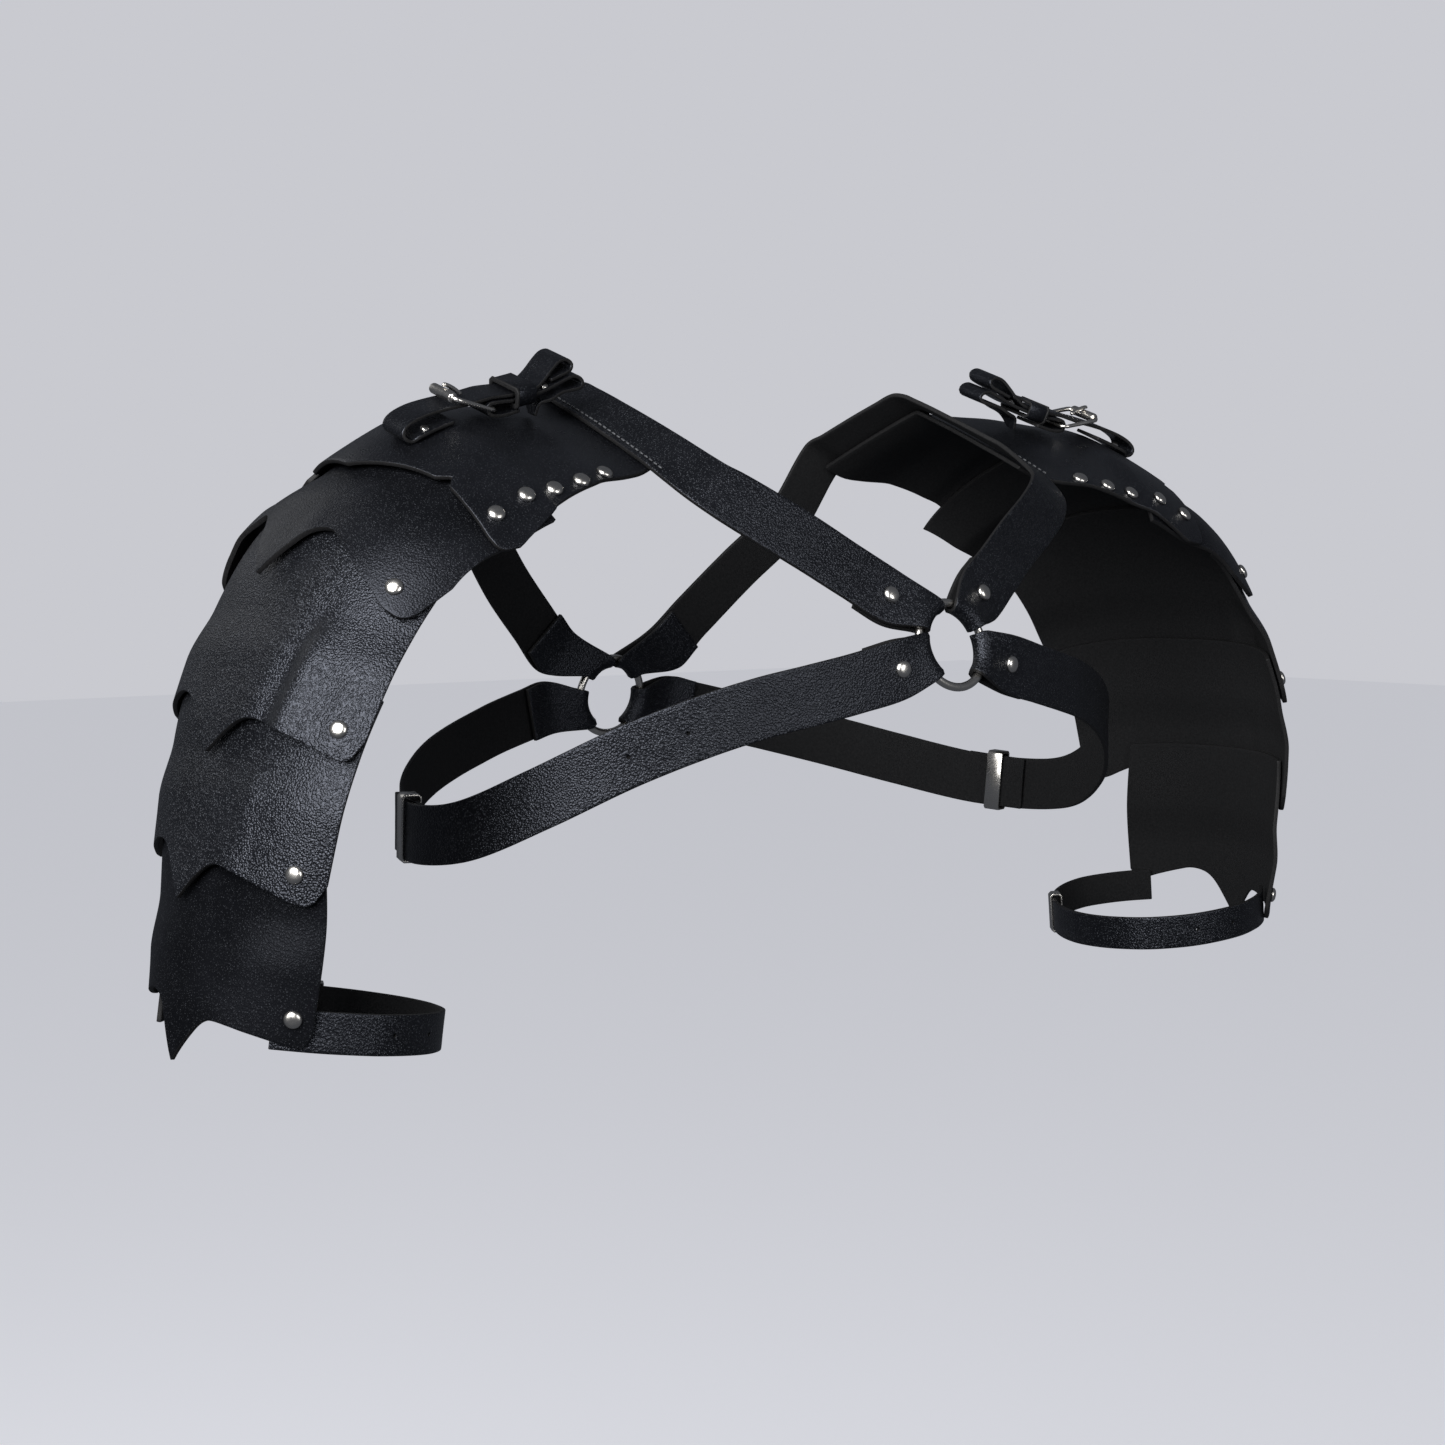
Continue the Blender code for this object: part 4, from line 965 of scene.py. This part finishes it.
for name, front in (("front_ring", True), ("back_ring", False)):
    middle, _, _, facing = ringFrame(front)
    deselect()
    turned = facing.to_track_quat("Z", "Y").to_euler()
    bpy.ops.mesh.primitive_torus_add(major_radius=ring["radius"], minor_radius=ring["wire"],
                                     major_segments=120, minor_segments=24, location=middle, rotation=turned)
    piece = bpy.context.active_object
    piece.name = piece.data.name = f"{name}_metal"
    bpy.ops.object.transform_apply(location=True, rotation=True, scale=True)
    bpy.ops.object.shade_smooth()
    piece.data.materials.append(nickel)
    settle(piece, "nickel", name)

studs = {"radius": 0.0036, "height": 0.0018, "dome": 0.14, "foot": 0.0005, "inset": 0.02, "rise": 0.011,
         "small": 0.55, "sunk": 0.35, "seated": 0.65}


def rivetCap(name, place, facing, *nodes, scale=1.0):
    deselect()
    bpy.ops.mesh.primitive_uv_sphere_add(segments=36, ring_count=20, radius=1.0)
    piece = bpy.context.active_object
    piece.name = piece.data.name = name
    bpy.ops.object.mode_set(mode="EDIT")
    bpy.ops.mesh.select_all(action="SELECT")
    bpy.ops.mesh.bisect(plane_co=(0, 0, 0), plane_no=(0, 0, 1), clear_inner=True, use_fill=True)
    bpy.ops.object.mode_set(mode="OBJECT")
    turn = facing.to_track_quat("Z", "Y").to_matrix()
    base = place + facing * (gap * 0.8)
    for vert in piece.data.vertices:
        out = math.hypot(vert.co.x, vert.co.y)
        rise = max(0.0, 1.0 - min(1.0, out) ** 3.2) ** 0.5 if vert.co.z > 0.001 else 0.0
        flat = Vector((vert.co.x * studs["radius"] * scale, vert.co.y * studs["radius"] * scale, 0.0))
        flat.z = studs["height"] * scale * rise * (1.0 - studs["dome"] * out * out)
        if vert.co.z <= 0.001:
            flat.z -= studs["foot"]
        vert.co = base + turn @ flat
    piece.data.materials.append(nickel)
    bpy.ops.object.shade_smooth()
    bothSides(piece, "nickel", *nodes)


Stud = namedtuple("Stud", "out ahead")
yokeStuds = (Stud(0.212, 0.78), Stud(0.278, 0.825), Stud(0.346, 0.84), Stud(0.418, 0.855), Stud(0.490, 0.87))
for number, stud in enumerate(yokeStuds, start=1):
    run, turn = spotAt(shoulder["innerX"] + stud.out * shoulder["reach"], -stud.ahead * shoulder["depth"])
    share = (turn - plateTable[0].tipTurn) / plateReach(plateTable[0], run)
    lift = plateLift(plateTable[0], share, run) + thick + studs["seated"] * gap
    place = lifted(run, turn, lift)
    rivetCap(f"yoke_cap_{number}_left", place, shoulderNormal(run, turn), f"yoke_rivet_{number}")
for plate in plateTable[1:]:
    run = edgeRun(plate, -plate.lobe) - studs["rise"]
    across = studs["inset"] - plate.lobe
    turn = plate.tipTurn + across * plateReach(plate, run)
    place = lifted(run, turn, plateLift(plate, across, run) + thick)
    rivetCap(f"{plate.name}_cap_left", place, shoulderNormal(run, turn), f"{plate.name}_rivet")
centre = strapMesh["columns"] // 2
neckStud = neckGrid[0][centre].lerp(neckGrid[1][centre], 0.1) + neckNormals[0] * (thick + gap)
rivetCap("neck_ring_cap_left", neckStud, neckNormals[0], "neck_ring_rivet")
chestStud = chestGrid[0][centre] + chestNormals[0] * thick
rivetCap("chest_ring_cap_left", chestStud, chestNormals[0], "chest_ring_rivet")

SmallStud = namedtuple("SmallStud", "strap place aside lean")
smallStuds = (
    SmallStud("chape", archPoint(Bend(0.312, 0.722)), 0.0048, 0.5),
    SmallStud("billet", archRests((Rest(0.865, 0.90),))[0], 0.0042, 0.4),
)
for stud in smallStuds:
    place = stud.place - archAcross * stud.aside + archAbove * arch["thickness"] * studs["sunk"]
    facing = (archAbove - archAcross * stud.lean).normalized()
    rivetCap(f"{stud.strap}_cap_left", place, facing, scale=studs["small"])
print("metalwork made")


# Stitches along the edge of the neck strap, where it lies on the yoke

stitch = {"inset": 0.0030, "pitch": 0.0034, "length": 0.0026, "radius": 0.00042, "proud": 0.0005,
          "lean": 0.08, "first": 0.80, "last": -0.84}


def stitchRow(name, places, normals, alongs):
    work = bmesh.new()
    for place, normal, along in zip(places, normals, alongs):
        side = normal.cross(along).normalized()
        turn = Matrix((along, side, normal)).transposed().to_4x4()
        size = Matrix.Diagonal((stitch["length"] / 2, stitch["radius"], stitch["radius"], 1.0))
        lean = Matrix.Rotation(random.uniform(-stitch["lean"], stitch["lean"]), 4, "Z")
        bmesh.ops.create_uvsphere(work, u_segments=8, v_segments=6, radius=1.0,
                                  matrix=Matrix.Translation(place) @ turn @ lean @ size)
    return meshPiece(name, work, thread)


seamX = torso["neckX"] + leather["strapWidth"] * leather["planShare"] / 2 - stitch["inset"]
seamLift = 2 * thick + 2 * gap + stitch["proud"]
seamY = -stitch["first"] * shoulder["depth"]
places, normals, alongs = [], [], []
while seamY < -stitch["last"] * shoulder["depth"]:
    run, turn = spotAt(seamX, seamY)
    ahead = spotAt(seamX, seamY + 0.002)
    place, after = lifted(run, turn, seamLift), lifted(*ahead, seamLift)
    places.append(place)
    normals.append(shoulderNormal(run, turn))
    alongs.append((after - place).normalized())
    seamY += stitch["pitch"] * max(0.35, abs(alongs[-1].y))
bothSides(stitchRow("seam_stitches_left", places, normals, alongs), "black_leather")
print("stitches made")


# Floor, light and camera

studio = {"floorZ": -0.95, "floorSize": 24.0, "floorColour": (0.62, 0.63, 0.66), "floorRough": 0.8,
          "floorGlow": 0.85, "backdrop": (0.585, 0.59, 0.63), "fill": (0.80, 0.86, 1.0), "fillGlow": 0.08}

deselect()
bpy.ops.mesh.primitive_plane_add(size=studio["floorSize"], location=(0.0, 0.0, studio["floorZ"]))
floor = bpy.context.active_object
floor.name = "floor"
floorFinish, _, floorShader = newMaterial("pale floor")
floorShader.inputs["Base Color"].default_value = (*studio["floorColour"], 1)
floorShader.inputs["Roughness"].default_value = studio["floorRough"]
floorShader.inputs["Emission Color"].default_value = (*studio["backdrop"], 1)
floorShader.inputs["Emission Strength"].default_value = studio["floorGlow"]
floor.data.materials.append(floorFinish)
floor.visible_diffuse = floor.visible_glossy = False

world = bpy.data.worlds.new("studio")
bpy.context.scene.world = world
world.use_nodes = True
worldTree = world.node_tree
backdrop = worldTree.nodes["Background"]
backdrop.inputs["Color"].default_value = (*studio["backdrop"], 1)
backdrop.inputs["Strength"].default_value = 1.0
fill = addNode(worldTree, "ShaderNodeBackground", Color=(*studio["fill"], 1), Strength=studio["fillGlow"])
seen = addNode(worldTree, "ShaderNodeLightPath").outputs["Is Camera Ray"]
mixed = addNode(worldTree, "ShaderNodeMixShader", i0=seen, i1=fill.outputs[0], i2=backdrop.outputs[0])
worldTree.links.new(mixed.outputs[0], worldTree.nodes["World Output"].inputs["Surface"])
bpy.context.scene.view_settings.view_transform = "Standard"

# name, place, target, size, watts
softboxes = (
    ("key", (-1.49, -0.66, 0.63), (-0.25, 0.0, -0.15), 1.40, 50.0),
    ("front", (0.02, -1.70, 0.15), (0.0, -0.1, -0.12), 0.80, 7.5),
    ("edge", (-0.37, 1.40, 0.65), (-0.25, 0.0, -0.10), 0.80, 1.1),
)
for name, place, target, size, watts in softboxes:
    lamp = bpy.data.lights.new(name, "AREA")
    lamp.energy, lamp.size = watts, size
    lampObject = bpy.data.objects.new(name, lamp)
    bpy.context.scene.collection.objects.link(lampObject)
    lampObject.location = place
    lampObject.rotation_euler = (Vector(target) - Vector(place)).to_track_quat("-Z", "Y").to_euler()

view = {"place": (-0.8608, -0.9979, -0.0649), "yaw": 40.0, "pitch": 4.0, "lens": 73.02}
cameraData = bpy.data.cameras.new("camera")
cameraData.lens, cameraData.sensor_width = view["lens"], 36.0
cameraData.clip_start, cameraData.clip_end = 0.05, 60.0
camera = bpy.data.objects.new("camera", cameraData)
bpy.context.scene.collection.objects.link(camera)
camera.location = view["place"]
yaw, pitch = math.radians(view["yaw"]), math.radians(view["pitch"])
gaze = Vector((math.sin(yaw) * math.cos(pitch), math.cos(yaw) * math.cos(pitch), -math.sin(pitch)))
camera.rotation_euler = gaze.to_track_quat("-Z", "Y").to_euler()
bpy.context.scene.camera = camera
print("studio made")
